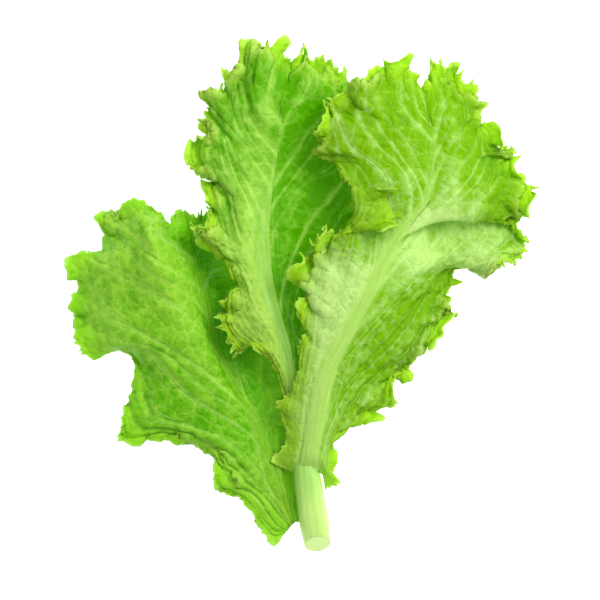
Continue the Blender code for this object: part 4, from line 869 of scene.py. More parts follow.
def vein_phase(places, count, sweep, wander, random):
    """Number of the vein at each net point: whole on a main vein, a half between two.

    A vein that leaves the rib at part h of the leaf reaches part h + (1 - h) m further out, where m is
    the sweep times a power of the place, so it hugs the rib first and then turns out to the edge.
    """
    column = np.linspace(0.0, 1.0, NET_COLUMNS + 1)[:, None]
    moved = sweep * places ** VEIN_SWEEP_POWER
    start = (column - moved) / (1.0 - moved)
    uneven = VEIN_UNEVEN * np.sin(2 * math.pi * (start * count / VEIN_UNEVEN_RUN + random.uniform()))
    phase = start * count + uneven + wander[:, None] * places
    return phase + VEIN_WAVE * np.sin(VEIN_WAVE_ACROSS * places + VEIN_WAVE_ALONG * phase) + 2 * count


def rib_paleness(leaf, side, columns, rib_widths):
    """How far the rib's pale colour covers the blade: full inside the rib, none at its own reach."""
    table = np.array(leaf["rib_pale"][side])
    reach = np.interp(columns, table[:, 0], table[:, 1])[:, None]
    strength = np.interp(columns, table[:, 0], table[:, 2])[:, None]
    near, far = RIB_PALE_FADE
    return strength * (1.0 - smooth_step(near * reach, far * reach, rib_widths))


def edge_waves(place, random):
    """The waves, each with its phase, strength and turn at every place along the edge."""
    waves = []
    for wave in EDGE_WAVES:
        phase = PHASE_DRIFT * seeded_ripple(place, wave[0] * PHASE_DRIFT_LENGTH, random)
        ripple = seeded_ripple(place, wave[0] * STRENGTH_DRIFT_LENGTH, random)
        waves.append([wave, phase, MEAN_STRENGTH + STRENGTH_DRIFT * ripple])
    for wave in waves:
        wave.append(seeded_ripple(place, wave[0][0] * TURN_DRIFT_LENGTH, random))
    return waves


def edge_teeth(place, random):
    """How much longer each vein is, or shorter: longest where a ripple crosses 0, with finer teeth."""
    teeth = TOOTH_TIP - TOOTH_DEPTH * np.abs(seeded_ripple(place, TOOTH_SPACING, random))
    teeth += FINE_TOOTH_DEPTH * seeded_ripple(place, TOOTH_SPACING / FINE_TEETH_TO_EACH, random)
    return np.clip(teeth, *TOOTH_LIMITS)


def ledge_course(place, random):
    """How strong the second frill is along the edge, and how far its line wanders."""
    strength = LEDGE_MEAN + LEDGE_SWING * seeded_ripple(place, LEDGE_SPACING * LEDGE_RUN, random)
    line = LEDGE_WANDER * seeded_ripple(place, LEDGE_SPACING, random)
    line += FINE_LEDGE_WANDER * seeded_ripple(place, LEDGE_SPACING / FINE_LEDGES_TO_EACH, random)
    return np.maximum(strength, 0.0), line


def blade_relief(leaf, side, net, places, length, columns, phase, random):
    """Puckers between the veins with broad and fine crumples, and the fine crumples by themselves."""
    fewest = FEWEST_VEINS_SHARE * leaf["vein_count"][side] / NET_COLUMNS
    veins_here = np.maximum(np.gradient(phase, axis=0), fewest)
    unit_width = np.linalg.norm(np.gradient(net, axis=0), axis=2) / veins_here
    relief = pucker_height(phase, places, unit_width, random) * leaf["pucker"][side]
    beyond_rib = smooth_step(*CRUMPLE_START, places) * smooth_step(*CRUMPLE_WIDTHS, length)[:, None]
    for wavelength, height in CRUMPLES:
        relief += height * crumple(net, wavelength, random) * beyond_rib
    crests = sum(height * crumple(net, wavelength, random) for wavelength, height in FINE_CRUMPLES)
    crests *= beyond_rib
    return (relief + crests) * smooth_step(*leaf["calm_base"], columns)[:, None], crests


def rib_relief(leaf, side, columns, rib_widths, half_width):
    """Share of the rib's depth at each point, its crown with fine strands, and the groove beside it."""
    rounded = np.clip(1.0 - rib_widths ** 2, 0.0, 1.0)
    strands = RIB_STRAND_HEIGHT * np.cos(2 * math.pi * RIB_STRANDS * rib_widths)
    crown = half_width[:, None] * rounded * (RIB_ROUNDING + strands)
    groove = leaf["groove"][side] * (1.0 - smooth_step(*GROOVE_FADE, columns))
    groove_with_highlight = groove[:, None] * np.exp(-((rib_widths - GROOVE_PLACE) / GROOVE_WIDTH) ** 2)
    return rounded, crown, groove_with_highlight


def side_tone_and_painted_light(leaf, side, columns, places):
    """Tone that the tables give at the rib and at the edge, blended and kept in -1 to 1: own colour with
    painted light and shade.
    """
    table = np.array(leaf["tone_and_painted_light"][side])
    at_rib, at_edge = (np.interp(columns, table[:, 0], table[:, k])[:, None] for k in (1, 2))
    return np.clip(at_rib + (at_edge - at_rib) * places, -1.0, 1.0)


def leaf_sides(leaf):
    """Both sides of a leaf as fine waved nets, with what the material reads at each net point."""
    random = np.random.default_rng(leaf["seed"])
    columns = spread_columns(leaf)
    rib = curve_through(leaf["rib"], columns)
    edge, lobes, notches = edge_curves(leaf, columns)
    place = walked_length(edge)
    place -= place[NET_COLUMNS]
    waves = edge_waves(place, random)
    teeth = edge_teeth(place, random)
    uneven = 1.0 + CURL_UNEVEN * seeded_ripple(place, CURL_SPACING, random)
    wander = VEIN_WANDER * seeded_ripple(place, VEIN_WANDER_SPACING, random)
    ledge, ledge_line = ledge_course(place, random)
    rib_depth = curve_through(leaf["rib_depth"], columns)[:, 0]
    sides = []
    for side, flip in (("left", 1.0), ("right", -1.0)):
        pick = slice(0, NET_COLUMNS + 1) if side == "left" else slice(None, NET_COLUMNS - 1, -1)
        net, places, length, half_width = calm_side(
            leaf, side, columns, rib, edge[pick], lobes[pick], notches[pick]
        )
        swing = np.interp(columns, *np.array(leaf["swing"][side]).T)
        chosen = [(wave, phase[pick], strength[pick] * swing, turn[pick])
                  for wave, phase, strength, turn in waves]
        curl = np.interp(columns, *np.array(leaf["curl"][side]).T) * uneven[pick]
        net, frill = wave_side(net, places, length, place[pick], chosen, curl, teeth[pick] * swing, flip)
        strength = ledge[pick] * np.interp(columns, *np.array(leaf["ledge"][side]).T)
        net, rim_highlight = fold_ledge(net, places, length, strength, ledge_line[pick], flip)
        phase = vein_phase(places, leaf["vein_count"][side], leaf["vein_sweep"], wander[pick], random)
        relief, crests = blade_relief(leaf, side, net, places, length, columns, phase, random)
        from_rib = np.linalg.norm(net - net[:, :1], axis=2)
        rib_widths = from_rib / half_width[:, None]
        rounded, crown, groove_with_highlight = rib_relief(leaf, side, columns, rib_widths, half_width)
        net += net_normals(net, flip) * (relief + crown - groove_with_highlight)[:, :, None]
        sides.append({
            "net": net,
            "depth": rib_depth[:, None] * rounded,
            "vein_phase": phase,
            "across": places,
            "rib_widths": rib_widths,
            "rib_pale": rib_paleness(leaf, side, columns, rib_widths),
            "from_edge": (1.0 - places) * length[:, None],
            "crest": crests,
            "frill": frill,
            "rim_highlight": rim_highlight,
            "groove_with_highlight": np.minimum(groove_with_highlight, 1.0),
            "standing": height_over_surroundings(net, flip),
            "tone_and_painted_light": side_tone_and_painted_light(leaf, side, columns, places),
        })
    return sides


def mean_around(net, reach, axis):
    """Mean of each point and its neighbours up to the reach on either side, along one axis of the net."""
    width = 2 * reach + 1
    padding = [(0, 0)] * net.ndim
    padding[axis] = (reach + 1, reach)
    total = np.cumsum(np.pad(net, padding, mode="edge"), axis=axis)
    count = net.shape[axis]
    ahead = np.take(total, np.arange(width, width + count), axis=axis)
    behind = np.take(total, np.arange(count), axis=axis)
    return (ahead - behind) / width


def height_over_surroundings(net, flip):
    """How far each point stands above the mean of its surroundings, or below it in a hollow."""
    mean = net
    for _ in range(HOLLOW_ROUNDS):
        mean = mean_around(mean_around(mean, HOLLOW_COLUMNS, 0), HOLLOW_ROWS, 1)
    return ((net - mean) * net_normals(mean, flip)).sum(axis=2)


def cell_of(net):
    """Grid cell and place within the cell of every net point."""
    cells = (net[..., :2] + SHEET_HALF_WIDTH) / HEIGHT_CELL - 0.5
    low = np.floor(cells).astype(int)
    return low, cells - low


def add_to_heights(heights, sides):
    """Raise the grid to the leaf's highest point in each cell, sloping down around its outline."""
    raised = heights.copy()
    for side in sides:
        net = side["net"]
        low, _ = cell_of(net)
        for across in (0, 1):
            for up in (0, 1):
                np.maximum.at(raised, (low[..., 0] + across, low[..., 1] + up), net[..., 2])
    fall = FALL_OFF_SLOPE * HEIGHT_CELL
    for _ in range(FALL_OFF_ROUNDS):
        for axis in (0, 1):
            for way in (1, -1):
                raised = np.maximum(raised, np.roll(raised, way, axis=axis) - fall)
    return np.maximum(raised, heights)


def height_below(heights, net):
    """Height of the grid under each net point, blended between the four cells round it."""
    low, part = cell_of(net)
    x = low[..., 0]
    y = low[..., 1]
    left = heights[x, y] * (1 - part[..., 1]) + heights[x, y + 1] * part[..., 1]
    right = heights[x + 1, y] * (1 - part[..., 1]) + heights[x + 1, y + 1] * part[..., 1]
    return left * (1 - part[..., 0]) + right * part[..., 0]


def lay_down(leaf, sides, heights):
    """Lift every net point clear of what lies below it, keep it on the surface, and sink the leaf's base."""
    sunk = leaf["base_sink"] * (1.0 - smooth_step(0.0, BASE_SINK_REACH, spread_columns(leaf)))[:, None]
    for side in sides:
        net = side["net"]
        below = height_below(heights, net)
        need = np.where(below > 0.0, below + LEAF_GAP, 0.0) + BLADE_HALF_THICKNESS + side["depth"]
        softness = np.where(below > 0.0, SOFT_LIFT, SOFT_LANDING)
        net[..., 2] = need + softness * np.logaddexp(0.0, (net[..., 2] - need) / softness) - sunk


def picked_rows():
    """Rows of the mesh, each with the spacing of its columns: coarse by the rib, fine at the edge."""
    steps = [ROW_BANDS[0][2]] * (RIB_ROWS + 1)
    for _, rows, step in ROW_BANDS:
        steps += [step] * rows
    return list(enumerate(steps))


def strip(inner, outer):
    """Triangles between two rows, the outer with as many columns as the inner or twice as many."""
    a, b = inner[:-1], inner[1:]
    if len(outer) == len(inner):
        c, d = outer[:-1], outer[1:]
        return np.concatenate([np.stack([a, c, b], axis=1), np.stack([b, c, d], axis=1)])
    c, m, d = outer[:-1:2], outer[1::2], outer[2::2]
    return np.concatenate([
        np.stack([a, c, m], axis=1), np.stack([a, m, b], axis=1), np.stack([b, m, d], axis=1),
    ])


VALUES_READ = (
    "depth", "vein_phase", "across", "rib_widths", "rib_pale", "from_edge", "crest", "frill", "rim_highlight",
    "groove_with_highlight", "standing", "tone_and_painted_light",
)


def leaf_sheet(sides):
    """Vertices, triangles, outline and values of the leaf's middle sheet; both sides share rib and tip."""
    rows = picked_rows()
    points = []
    values = {name: [] for name in VALUES_READ}
    numbered = ([], [])
    count = 0
    for which, side in enumerate(sides):
        for order, (row, step) in enumerate(rows):
            columns = np.arange(0, NET_COLUMNS + 1, step)
            if which == 1 and order == 0:
                numbered[1].append(numbered[0][0])
                continue
            kept = columns[:-1] if which == 1 else columns
            points.append(side["net"][kept, row])
            for name in VALUES_READ:
                values[name].append(side[name][kept, row])
            numbers = np.arange(count, count + len(kept))
            count += len(kept)
            if which == 1:
                numbers = np.append(numbers, numbered[0][order][-1])
            numbered[which].append(numbers)
    left, right = numbered
    faces = [strip(inner, outer) for inner, outer in zip(left[:-1], left[1:])]
    faces += [strip(inner, outer)[:, ::-1] for inner, outer in zip(right[:-1], right[1:])]
    outline = np.concatenate([
        [numbers[0] for numbers in left[:-1]], left[-1], right[-1][-2::-1],
        [numbers[0] for numbers in right[-2:0:-1]],
    ]).astype(int)
    values = {name: np.concatenate(parts) for name, parts in values.items()}
    return np.concatenate(points), np.concatenate(faces), outline, values


def vertex_normals(points, faces):
    """Mean of the normals of the triangles round each vertex, weighted by their area."""
    corner = points[faces]
    face_normal = np.cross(corner[:, 1] - corner[:, 0], corner[:, 2] - corner[:, 0])
    normal = np.zeros_like(points)
    for k in range(3):
        for axis in range(3):
            normal[:, axis] += np.bincount(faces[:, k], face_normal[:, axis], len(points))
    return unit(normal)


def thicken(points, faces, outline, values):
    """Closed solid round the sheet: both faces split alike, joined round the outline."""
    normal = vertex_normals(points, faces)
    if normal[:, 2].mean() < 0:
        faces = faces[:, ::-1]
        normal = -normal
    count = len(points)
    thicker = smooth_step(0.0, EDGE_THINNING_BAND, values["from_edge"])
    thinner_at_edge = EDGE_THICKNESS_SHARE + (1.0 - EDGE_THICKNESS_SHARE) * thicker
    thinner_at_edge *= BLADE_HALF_THICKNESS
    top = points + normal * thinner_at_edge[:, None]
    bottom = points - normal * (thinner_at_edge + values["depth"])[:, None]
    bottom[:, 2] = np.maximum(bottom[:, 2], 0.0)
    top[:, 2] = np.maximum(top[:, 2], LOWEST_TOP)
    ahead = np.roll(outline, -1)
    edges = faces[:, [0, 1]]
    forward = ((edges[:, 0] == outline[0]) & (edges[:, 1] == outline[1])).any()
    for first, second in ((1, 2), (2, 0)):
        forward |= ((faces[:, first] == outline[0]) & (faces[:, second] == outline[1])).any()
    closing = np.concatenate([
        np.stack([outline + count, ahead, outline], axis=1),
        np.stack([outline + count, ahead + count, ahead], axis=1),
    ])
    if not forward:
        closing = closing[:, ::-1]
    every = np.concatenate([faces, faces[:, ::-1] + count, closing])
    return np.concatenate([top, bottom]), every, {name: np.tile(v, 2) for name, v in values.items()}


def make_mesh_object(name, points, faces, values, material):
    """Object with the points in metres, smooth shaded, and the values as attributes of its points."""
    mesh = bpy.data.meshes.new(name)
    mesh.vertices.add(len(points))
    mesh.vertices.foreach_set("co", (points * MM).astype(np.float32).ravel())
    mesh.loops.add(3 * len(faces))
    mesh.loops.foreach_set("vertex_index", faces.astype(np.int32).ravel())
    mesh.polygons.add(len(faces))
    mesh.polygons.foreach_set("loop_start", np.arange(0, 3 * len(faces), 3, dtype=np.int32))
    mesh.update(calc_edges=True)
    mesh.validate()
    mesh.shade_smooth()
    for key, numbers in values.items():
        if key != "depth":
            mesh.attributes.new(key, "FLOAT", "POINT").data.foreach_set("value", numbers.astype(np.float32))
    mesh.materials.append(material)
    piece = bpy.data.objects.new(name, mesh)
    bpy.context.collection.objects.link(piece)
    return piece


def linear(red, green, blue):
    """Colour given as 0 to 255 display values, as the linear RGBA that shaders use."""
    shown = np.array([red, green, blue]) / 255.0
    curved = np.where(shown <= 0.04045, shown / 12.92, ((shown + 0.055) / 1.055) ** 2.4)
    return (*(float(c) for c in curved), 1.0)


class Shading:
    """One node material, with short calls that add a node and give back its output."""

    def __init__(self, name):
        self.material = bpy.data.materials.new(name)
        self.material.use_nodes = True
        self.tree = self.material.node_tree
        self.tree.nodes.clear()
        self.place = self.node("ShaderNodeTexCoord").outputs["Object"]

    def node(self, kind, **settings):
        made = self.tree.nodes.new(kind)
        for key, value in settings.items():
            setattr(made, key, value)
        return made

    def feed(self, socket, value):
        if isinstance(value, bpy.types.NodeSocket):
            self.tree.links.new(value, socket)
        else:
            socket.default_value = value

    def attribute(self, name):
        return self.node("ShaderNodeAttribute", attribute_name=name).outputs["Fac"]

    def math(self, operation, *values, clamp=False):
        made = self.node("ShaderNodeMath", operation=operation, use_clamp=clamp)
        for socket, value in zip(made.inputs, values):
            self.feed(socket, value)
        return made.outputs[0]

    def sum_of(self, *weighted):
        """Sum of values, each times its weight."""
        total = 0.0
        for value, weight in weighted:
            total = self.math("MULTIPLY_ADD", value, weight, total)
        return total

    def between(self, value, low, high):
        """0 at low, 1 at high, smooth between; high may be the smaller."""
        made = self.node("ShaderNodeMapRange", interpolation_type="SMOOTHSTEP")
        self.feed(made.inputs["Value"], value)
        self.feed(made.inputs["From Min"], low)
        self.feed(made.inputs["From Max"], high)
        return made.outputs["Result"]

    def mix(self, factor, first, second):
        made = self.node("ShaderNodeMix", data_type="RGBA")
        self.feed(made.inputs["Factor"], factor)
        self.feed(made.inputs[6], first)
        self.feed(made.inputs[7], second)
        return made.outputs[2]

    def noise(self, scale, detail=3.0, vector=None, roughness=0.5):
        made = self.node("ShaderNodeTexNoise")
        self.feed(made.inputs["Vector"], vector or self.place)
        made.inputs["Scale"].default_value = scale
        made.inputs["Detail"].default_value = detail
        made.inputs["Roughness"].default_value = roughness
        return made.outputs["Fac"]

    def bent_place(self, scale, amount):
        """Object coordinates, pushed about by a smooth noise by up to half the amount."""
        push = self.node("ShaderNodeTexNoise")
        self.feed(push.inputs["Vector"], self.place)
        push.inputs["Scale"].default_value = scale
        bent = self.node("ShaderNodeVectorMath", operation="MULTIPLY_ADD")
        self.feed(bent.inputs[0], push.outputs["Color"])
        self.feed(bent.inputs[1], (amount, amount, amount))
        self.feed(bent.inputs[2], self.place)
        return bent.outputs[0]

    def net_edges(self, scale, vector):
        """Distance to the nearest wall of a random net of cells."""
        made = self.node("ShaderNodeTexVoronoi", feature="DISTANCE_TO_EDGE")
        self.feed(made.inputs["Vector"], vector)
        made.inputs["Scale"].default_value = scale
        return made.outputs["Distance"]

    def bump(self, height, distance, strength):
        made = self.node("ShaderNodeBump")
        self.feed(made.inputs["Height"], height)
        made.inputs["Distance"].default_value = distance
        made.inputs["Strength"].default_value = strength
        return made.outputs["Normal"]


def vein_boldness(shade, phase):
    """How bold each main vein is, drawn from the least to 1 for the vein's number."""
    own = shade.node("ShaderNodeTexWhiteNoise", noise_dimensions="1D")
    shade.feed(own.inputs["W"], shade.math("ROUND", phase))
    return shade.math("MULTIPLY_ADD", own.outputs["Value"], 1.0 - LEAST_VEIN_BOLDNESS, LEAST_VEIN_BOLDNESS)


def vein_marks(shade, from_main, boldness):
    """How strongly a vein shows, from 0 to 1: main veins, side veins and finer ones."""
    across = shade.attribute("across")
    width = shade.math("MULTIPLY_ADD", across, VEIN_NARROWING, VEIN_WIDTH_AT_RIB)
    main = shade.between(shade.math("DIVIDE", from_main, width), *MAIN_VEIN_WIDTH)
    main = shade.math("MULTIPLY", main, boldness)
    spread = shade.math("DIVIDE", shade.math("SUBTRACT", across, SIDE_VEIN_START), 1.0 - SIDE_VEIN_START)
    spread = shade.math("POWER", shade.math("MAXIMUM", spread, 0.0), SIDE_VEIN_POWER)
    from_side = shade.math(
        "ABSOLUTE", shade.math("MULTIPLY_ADD", spread, -SIDE_VEIN_SPREAD, from_main)
    )
    side = shade.between(from_side, *SIDE_VEIN_WIDTH)
    side = shade.math("MULTIPLY", side, shade.between(across, *SIDE_VEIN_REACH))
    later = shade.math("MAXIMUM", shade.math("SUBTRACT", across, FINE_VEIN_START), 0.0)
    from_fine = shade.math("ABSOLUTE", shade.math("MULTIPLY_ADD", later, FINE_VEIN_SPREAD, from_side))
    fine = shade.between(from_fine, *FINE_VEIN_WIDTH)
    fine = shade.math("MULTIPLY", fine, shade.between(across, *FINE_VEIN_REACH))
    strongest = shade.math("MAXIMUM", main, shade.math("MULTIPLY", side, SIDE_VEIN_STRENGTH))
    strongest = shade.math("MAXIMUM", strongest, shade.math("MULTIPLY", fine, FINE_VEIN_STRENGTH))
    return shade.math("MULTIPLY", strongest, shade.between(across, *VEIN_FADE))


def rib_strands(shade):
    """Fine lengthwise strands on and beside the rib, from 0 to 1."""
    together = shade.node("ShaderNodeCombineXYZ")
    across = shade.math("MULTIPLY", shade.attribute("rib_widths"), STRANDS_ACROSS)
    along = shade.math("MULTIPLY", shade.attribute("vein_phase"), STRANDS_ALONG)
    shade.feed(together.inputs["X"], across)
    shade.feed(together.inputs["Y"], along)
    return shade.noise(1.0, 2.0, together.outputs[0])


def leaf_marks(shade):
    """What the leaf's colour and bumps are worked out from, each by its name."""
    phase = shade.attribute("vein_phase")
    from_main = shade.math("PINGPONG", phase, 0.5)
    boldness = vein_boldness(shade, phase)
    bent = shade.bent_place(*CELL_BEND)
    from_wall = shade.net_edges(CELLS, bent)
    from_edge = shade.attribute("from_edge")
    return {
        "from_main": from_main,
        "boldness": boldness,
        "from_edge": from_edge,
        "wall": shade.between(from_wall, *CELL_WALL),
        "cell": shade.between(from_wall, *CELL_INSIDE),
        "small_cell": shade.between(shade.net_edges(SMALL_CELLS, bent), *SMALL_CELL_INSIDE),
        "crinkle": shade.noise(CRINKLES, 3.0, roughness=CRINKLE_ROUGHNESS),
        "frill": shade.between(shade.attribute("frill"), *FRILL_RANGE),
        "standing": shade.between(shade.attribute("standing"), *STANDING_RANGE),
        "strands": rib_strands(shade),
        "veins": vein_marks(shade, from_main, boldness),
        "rib": shade.math("MULTIPLY", shade.attribute("rib_pale"), shade.between(from_edge, *RIB_EDGE_FADE)),
    }


def blade_tone_and_painted_light(shade, tones, marks):
    """From below -1, darkest, to above 1, palest: the table's value with what each mark adds, painted light
    on crests and standing parts and painted shade in hollows among them.
    """
    near_vein = shade.between(marks["from_main"], *STREAK_REACH)
    return shade.sum_of(
        (shade.attribute("tone_and_painted_light"), 1.0),
        (shade.noise(CLOUDS, 3.0), CLOUD_TONE),
        (marks["crinkle"], tones["crinkle"]),
        (shade.math("MULTIPLY", near_vein, marks["boldness"]), tones["streak"]),
        (marks["wall"], tones["net"]),
        (marks["cell"], CELL_TONE),
        (marks["small_cell"], SMALL_CELL_TONE),
        (shade.between(shade.attribute("crest"), *CREST_RANGE), CREST_HIGHLIGHT),
        (marks["frill"], FRILL_LIGHT_AND_SHADE),
        (marks["standing"], STANDING_LIGHT_AND_SHADE),
        (1.0, TONE_START - 0.5 * tones["crinkle"]),
    )


def blade_colour(shade, tones, marks):
    """Dark to deep to pale by the leaf's lightness, which holds painted light and shade; yellower by the
    edge, less in hollows; painted highlights at the rims; pale strands and veins.
    """
    tone_and_painted_light = blade_tone_and_painted_light(shade, tones, marks)
    blade = shade.mix(shade.math("ADD", tone_and_painted_light, 1.0, clamp=True), tones["dark_and_shade"], tones["deep"])
    blade = shade.mix(shade.math("MAXIMUM", tone_and_painted_light, 0.0, clamp=True), blade, tones["pale"])
    yellow = shade.sum_of(
        (marks["frill"], YELLOW_FRILL), (marks["standing"], YELLOW_STANDING), (1.0, YELLOW_EVERYWHERE)
    )
    to_edge = shade.between(marks["from_edge"], *YELLOW_REACH)
    blade = shade.mix(shade.math("MULTIPLY", to_edge, yellow), blade, tones["edge"])
    # Painted highlight along the leaf edge and along the second frill's fold
    rim_highlights = shade.between(marks["from_edge"], *RIM_HIGHLIGHT_REACH)
    rim_highlights = shade.math("MAXIMUM", rim_highlights, shade.attribute("rim_highlight"))
    blade = shade.mix(shade.math("MULTIPLY", rim_highlights, RIM_HIGHLIGHT_STRENGTH), blade, tones["rim_highlight"])
    near_rib = shade.between(shade.attribute("rib_widths"), tones["strands_reach"], 1.0)
    strands = shade.math("MULTIPLY", near_rib, shade.between(marks["strands"], *STRAND_RANGE))
    blade = shade.mix(shade.math("MULTIPLY", strands, STRAND_STRENGTH), blade, tones["strand"])
    return shade.mix(shade.math("MULTIPLY", marks["veins"], VEIN_STRENGTH), blade, tones["vein"])


def leaf_bumps(shade, marks):
    """Puffed cells beyond the rib, raised veins, crinkles and fine grain."""
    blade_only = shade.math("SUBTRACT", 1.0, marks["rib"], clamp=True)
    cells = shade.sum_of((marks["cell"], CELL_BUMP), (marks["small_cell"], SMALL_CELL_BUMP))
    height = shade.sum_of(
        (shade.math("MULTIPLY", blade_only, cells), 1.0),
        (marks["veins"], 1.0),
        (marks["crinkle"], CRINKLE_BUMP),
        (shade.noise(GRAIN, 2.0), GRAIN_BUMP),
    )
    return shade.bump(height, BUMP_HEIGHT, BUMP_STRENGTH)


def leaf_material(name, tones):
    """Fresh leaf: its colour by the marks, painted light and shade among them, a pale rib with a painted
    highlight in the groove beside it, low gloss, and light passing through.
    """
    shade = Shading(name)
    marks = leaf_marks(shade)
    blade = blade_colour(shade, tones, marks)
    rib_colour = shade.mix(
        shade.between(marks["strands"], *RIB_STRAND_RANGE), tones["rib"], tones["strand"]
    )
    colour = shade.mix(marks["rib"], blade, rib_colour)
    # Painted highlight in the groove beside the rib
    groove_with_highlight = shade.math("MULTIPLY", shade.attribute("groove_with_highlight"), GROOVE_HIGHLIGHT_STRENGTH)
    colour = shade.mix(groove_with_highlight, colour, tones["groove_with_highlight"])
    sheen = shade.noise(SHEEN_PATCHES, 2.0)
    roughness = shade.math("MULTIPLY_ADD", sheen, ROUGHNESS_SPREAD, LEAST_ROUGHNESS)
    skin = shade.node("ShaderNodeBsdfPrincipled")
    shade.feed(skin.inputs["Base Color"], colour)
    shade.feed(skin.inputs["Roughness"], roughness)
    skin.inputs["Specular IOR Level"].default_value = tones["gloss"]
    shade.feed(skin.inputs["Normal"], leaf_bumps(shade, marks))
    through = shade.node("ShaderNodeBsdfTranslucent")
    glowing = shade.mix(GLOW_SHARE, blade, tones["glow"])
    shade.feed(through.inputs["Color"], shade.mix(marks["rib"], glowing, rib_colour))
    both = shade.node("ShaderNodeMixShader")
    both.inputs[0].default_value = tones["through"]
    shade.tree.links.new(skin.outputs[0], both.inputs[1])
    shade.tree.links.new(through.outputs[0], both.inputs[2])
    output = shade.node("ShaderNodeOutputMaterial")
    shade.tree.links.new(both.outputs[0], output.inputs["Surface"])
    return shade.material


def stem_material():
    """Fresh stalk: pale green with long fibres, greener towards the leaves, nearly white at the cut."""
    shade = Shading("stem_flesh")
    stretch = shade.node("ShaderNodeMapping")
    shade.feed(stretch.inputs["Vector"], shade.place)
    stretch.inputs["Rotation"].default_value = (0.0, 0.0, FIBRE_LEAN)
    stretch.inputs["Scale"].default_value = (1.0, FIBRE_STRETCH, 1.0)
    fibres = shade.noise(FIBRES, 3.0, stretch.outputs["Vector"])
    colour = shade.mix(fibres, linear(*FIBRE_GREEN), linear(*FIBRE_PALE))
    greener = shade.between(shade.attribute("along"), *GREENER_TOWARDS_LEAF)
    colour = shade.mix(greener, colour, linear(*LEAF_END_GREEN))
    cut = shade.between(shade.attribute("cut"), *CUT_RANGE)
    colour = shade.mix(cut, colour, linear(*CUT_PALE))
    roughness = shade.math("MULTIPLY_ADD", fibres, STEM_ROUGHNESS_SPREAD, STEM_LEAST_ROUGHNESS)
    skin = shade.node("ShaderNodeBsdfPrincipled")
    shade.feed(skin.inputs["Base Color"], colour)
    shade.feed(skin.inputs["Roughness"], roughness)
    shade.feed(skin.inputs["Normal"], shade.bump(fibres, FIBRE_BUMP_HEIGHT, FIBRE_BUMP_STRENGTH))
    skin.inputs["Subsurface Weight"].default_value = FLESH_GLOW
    skin.inputs["Subsurface Radius"].default_value = FLESH_GLOW_REACH
    output = shade.node("ShaderNodeOutputMaterial")
    shade.tree.links.new(skin.outputs[0], output.inputs["Surface"])
    return shade.material


def stem_surface():
    """Rings along a straight axis with fine long ridges, flat where it rests, and a leaning cut end.

    The radius is the half width and half height, times one plus a small cosine for each set of ridges.
    The two ends are discs of smaller rings that shrink to a point.
    """
    start = np.array(STEM_CUT_END)
    end = np.array(STEM_LEAF_END)
    part = np.linspace(0.0, 1.0, STEM_RINGS)
    knots = np.linspace(0.0, 1.0, len(STEM_HALF_WIDTHS))
    half_width = curve_through(list(zip(knots, STEM_HALF_WIDTHS)), part)[:, 0]
    half_height = curve_through(list(zip(knots, STEM_HALF_HEIGHTS)), part)[:, 0]
    rounding = np.ones(STEM_RINGS)
    rounding[0] = STEM_RIM_SHARE
    cap = np.linspace(*STEM_CAP_REACH, STEM_CAP_RINGS)
    part = np.concatenate([np.zeros(STEM_CAP_RINGS), part, np.ones(STEM_CAP_RINGS)])
    shrink = np.concatenate([cap, rounding, cap[::-1]])
    half_width = np.concatenate([np.full(STEM_CAP_RINGS, half_width[0]), half_width,
                                 np.full(STEM_CAP_RINGS, half_width[-1])]) * shrink
    half_height = np.concatenate([np.full(STEM_CAP_RINGS, half_height[0]), half_height,
                                  np.full(STEM_CAP_RINGS, half_height[-1])]) * shrink
    angle = np.linspace(0.0, 2 * math.pi, STEM_SIDES, endpoint=False)[None, :]
    axis = (end - start)[:2] / np.linalg.norm((end - start)[:2])
    side = np.array([axis[1], -axis[0]])
    ridge = 1.0
    for count, height, turn, twist in STEM_RIDGES:
        ridge = ridge + height * np.cos(count * angle + turn + twist * part[:, None])
    across = np.cos(angle) * half_width[:, None] * ridge
    up = np.sin(angle) * half_height[:, None] * ridge
    centre = start + (end - start) * part[:, None]
    lean = up * STEM_CUT_LEAN * (1.0 - part[:, None]) ** 2
    points = np.stack([
        centre[:, :1] + side[0] * across + axis[0] * lean,
        centre[:, 1:2] + side[1] * across + axis[1] * lean,
        np.maximum(centre[:, 2:] + up, 0.0),
    ], axis=2)
    points[-STEM_CAP_RINGS - 1:, :, 1] = end[1]
    rings = len(part)
    number = np.arange(rings * STEM_SIDES).reshape(rings, STEM_SIDES)
    ahead = np.roll(number, -1, axis=1)
    a, b, c, d = number[:-1], ahead[:-1], ahead[1:], number[1:]
    faces = np.concatenate([
        np.stack([a, c, b], axis=2).reshape(-1, 3), np.stack([a, d, c], axis=2).reshape(-1, 3),
    ])
    points = points.reshape(-1, 3)
    poles = np.array([points[number[0]].mean(axis=0), points[number[-1]].mean(axis=0)])
    first, last = len(points), len(points) + 1
    near = np.stack([number[0], ahead[0], np.full(STEM_SIDES, first)], axis=1)
    far = np.stack([ahead[-1], number[-1], np.full(STEM_SIDES, last)], axis=1)
    cut = np.repeat((np.arange(rings) < STEM_CAP_RINGS).astype(float), STEM_SIDES)
    along = np.repeat(part, STEM_SIDES)
    values = {"cut": np.concatenate([cut, [1.0, 0.0]]), "along": np.concatenate([along, [0.0, 1.0]])}
    return np.concatenate([points, poles]), np.concatenate([faces, near, far]), values


def frame_shift(stem_points):
    """Move from the sheet that the tables are drawn on to the frame: the stem's cut ends are matched."""
    low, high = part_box("stem")
    wanted = np.array([high[0], low[1], low[2]]) / MM
    drawn = np.array([stem_points[:, 0].max(), stem_points[:, 1].min(), stem_points[:, 2].min()])
    return wanted - drawn


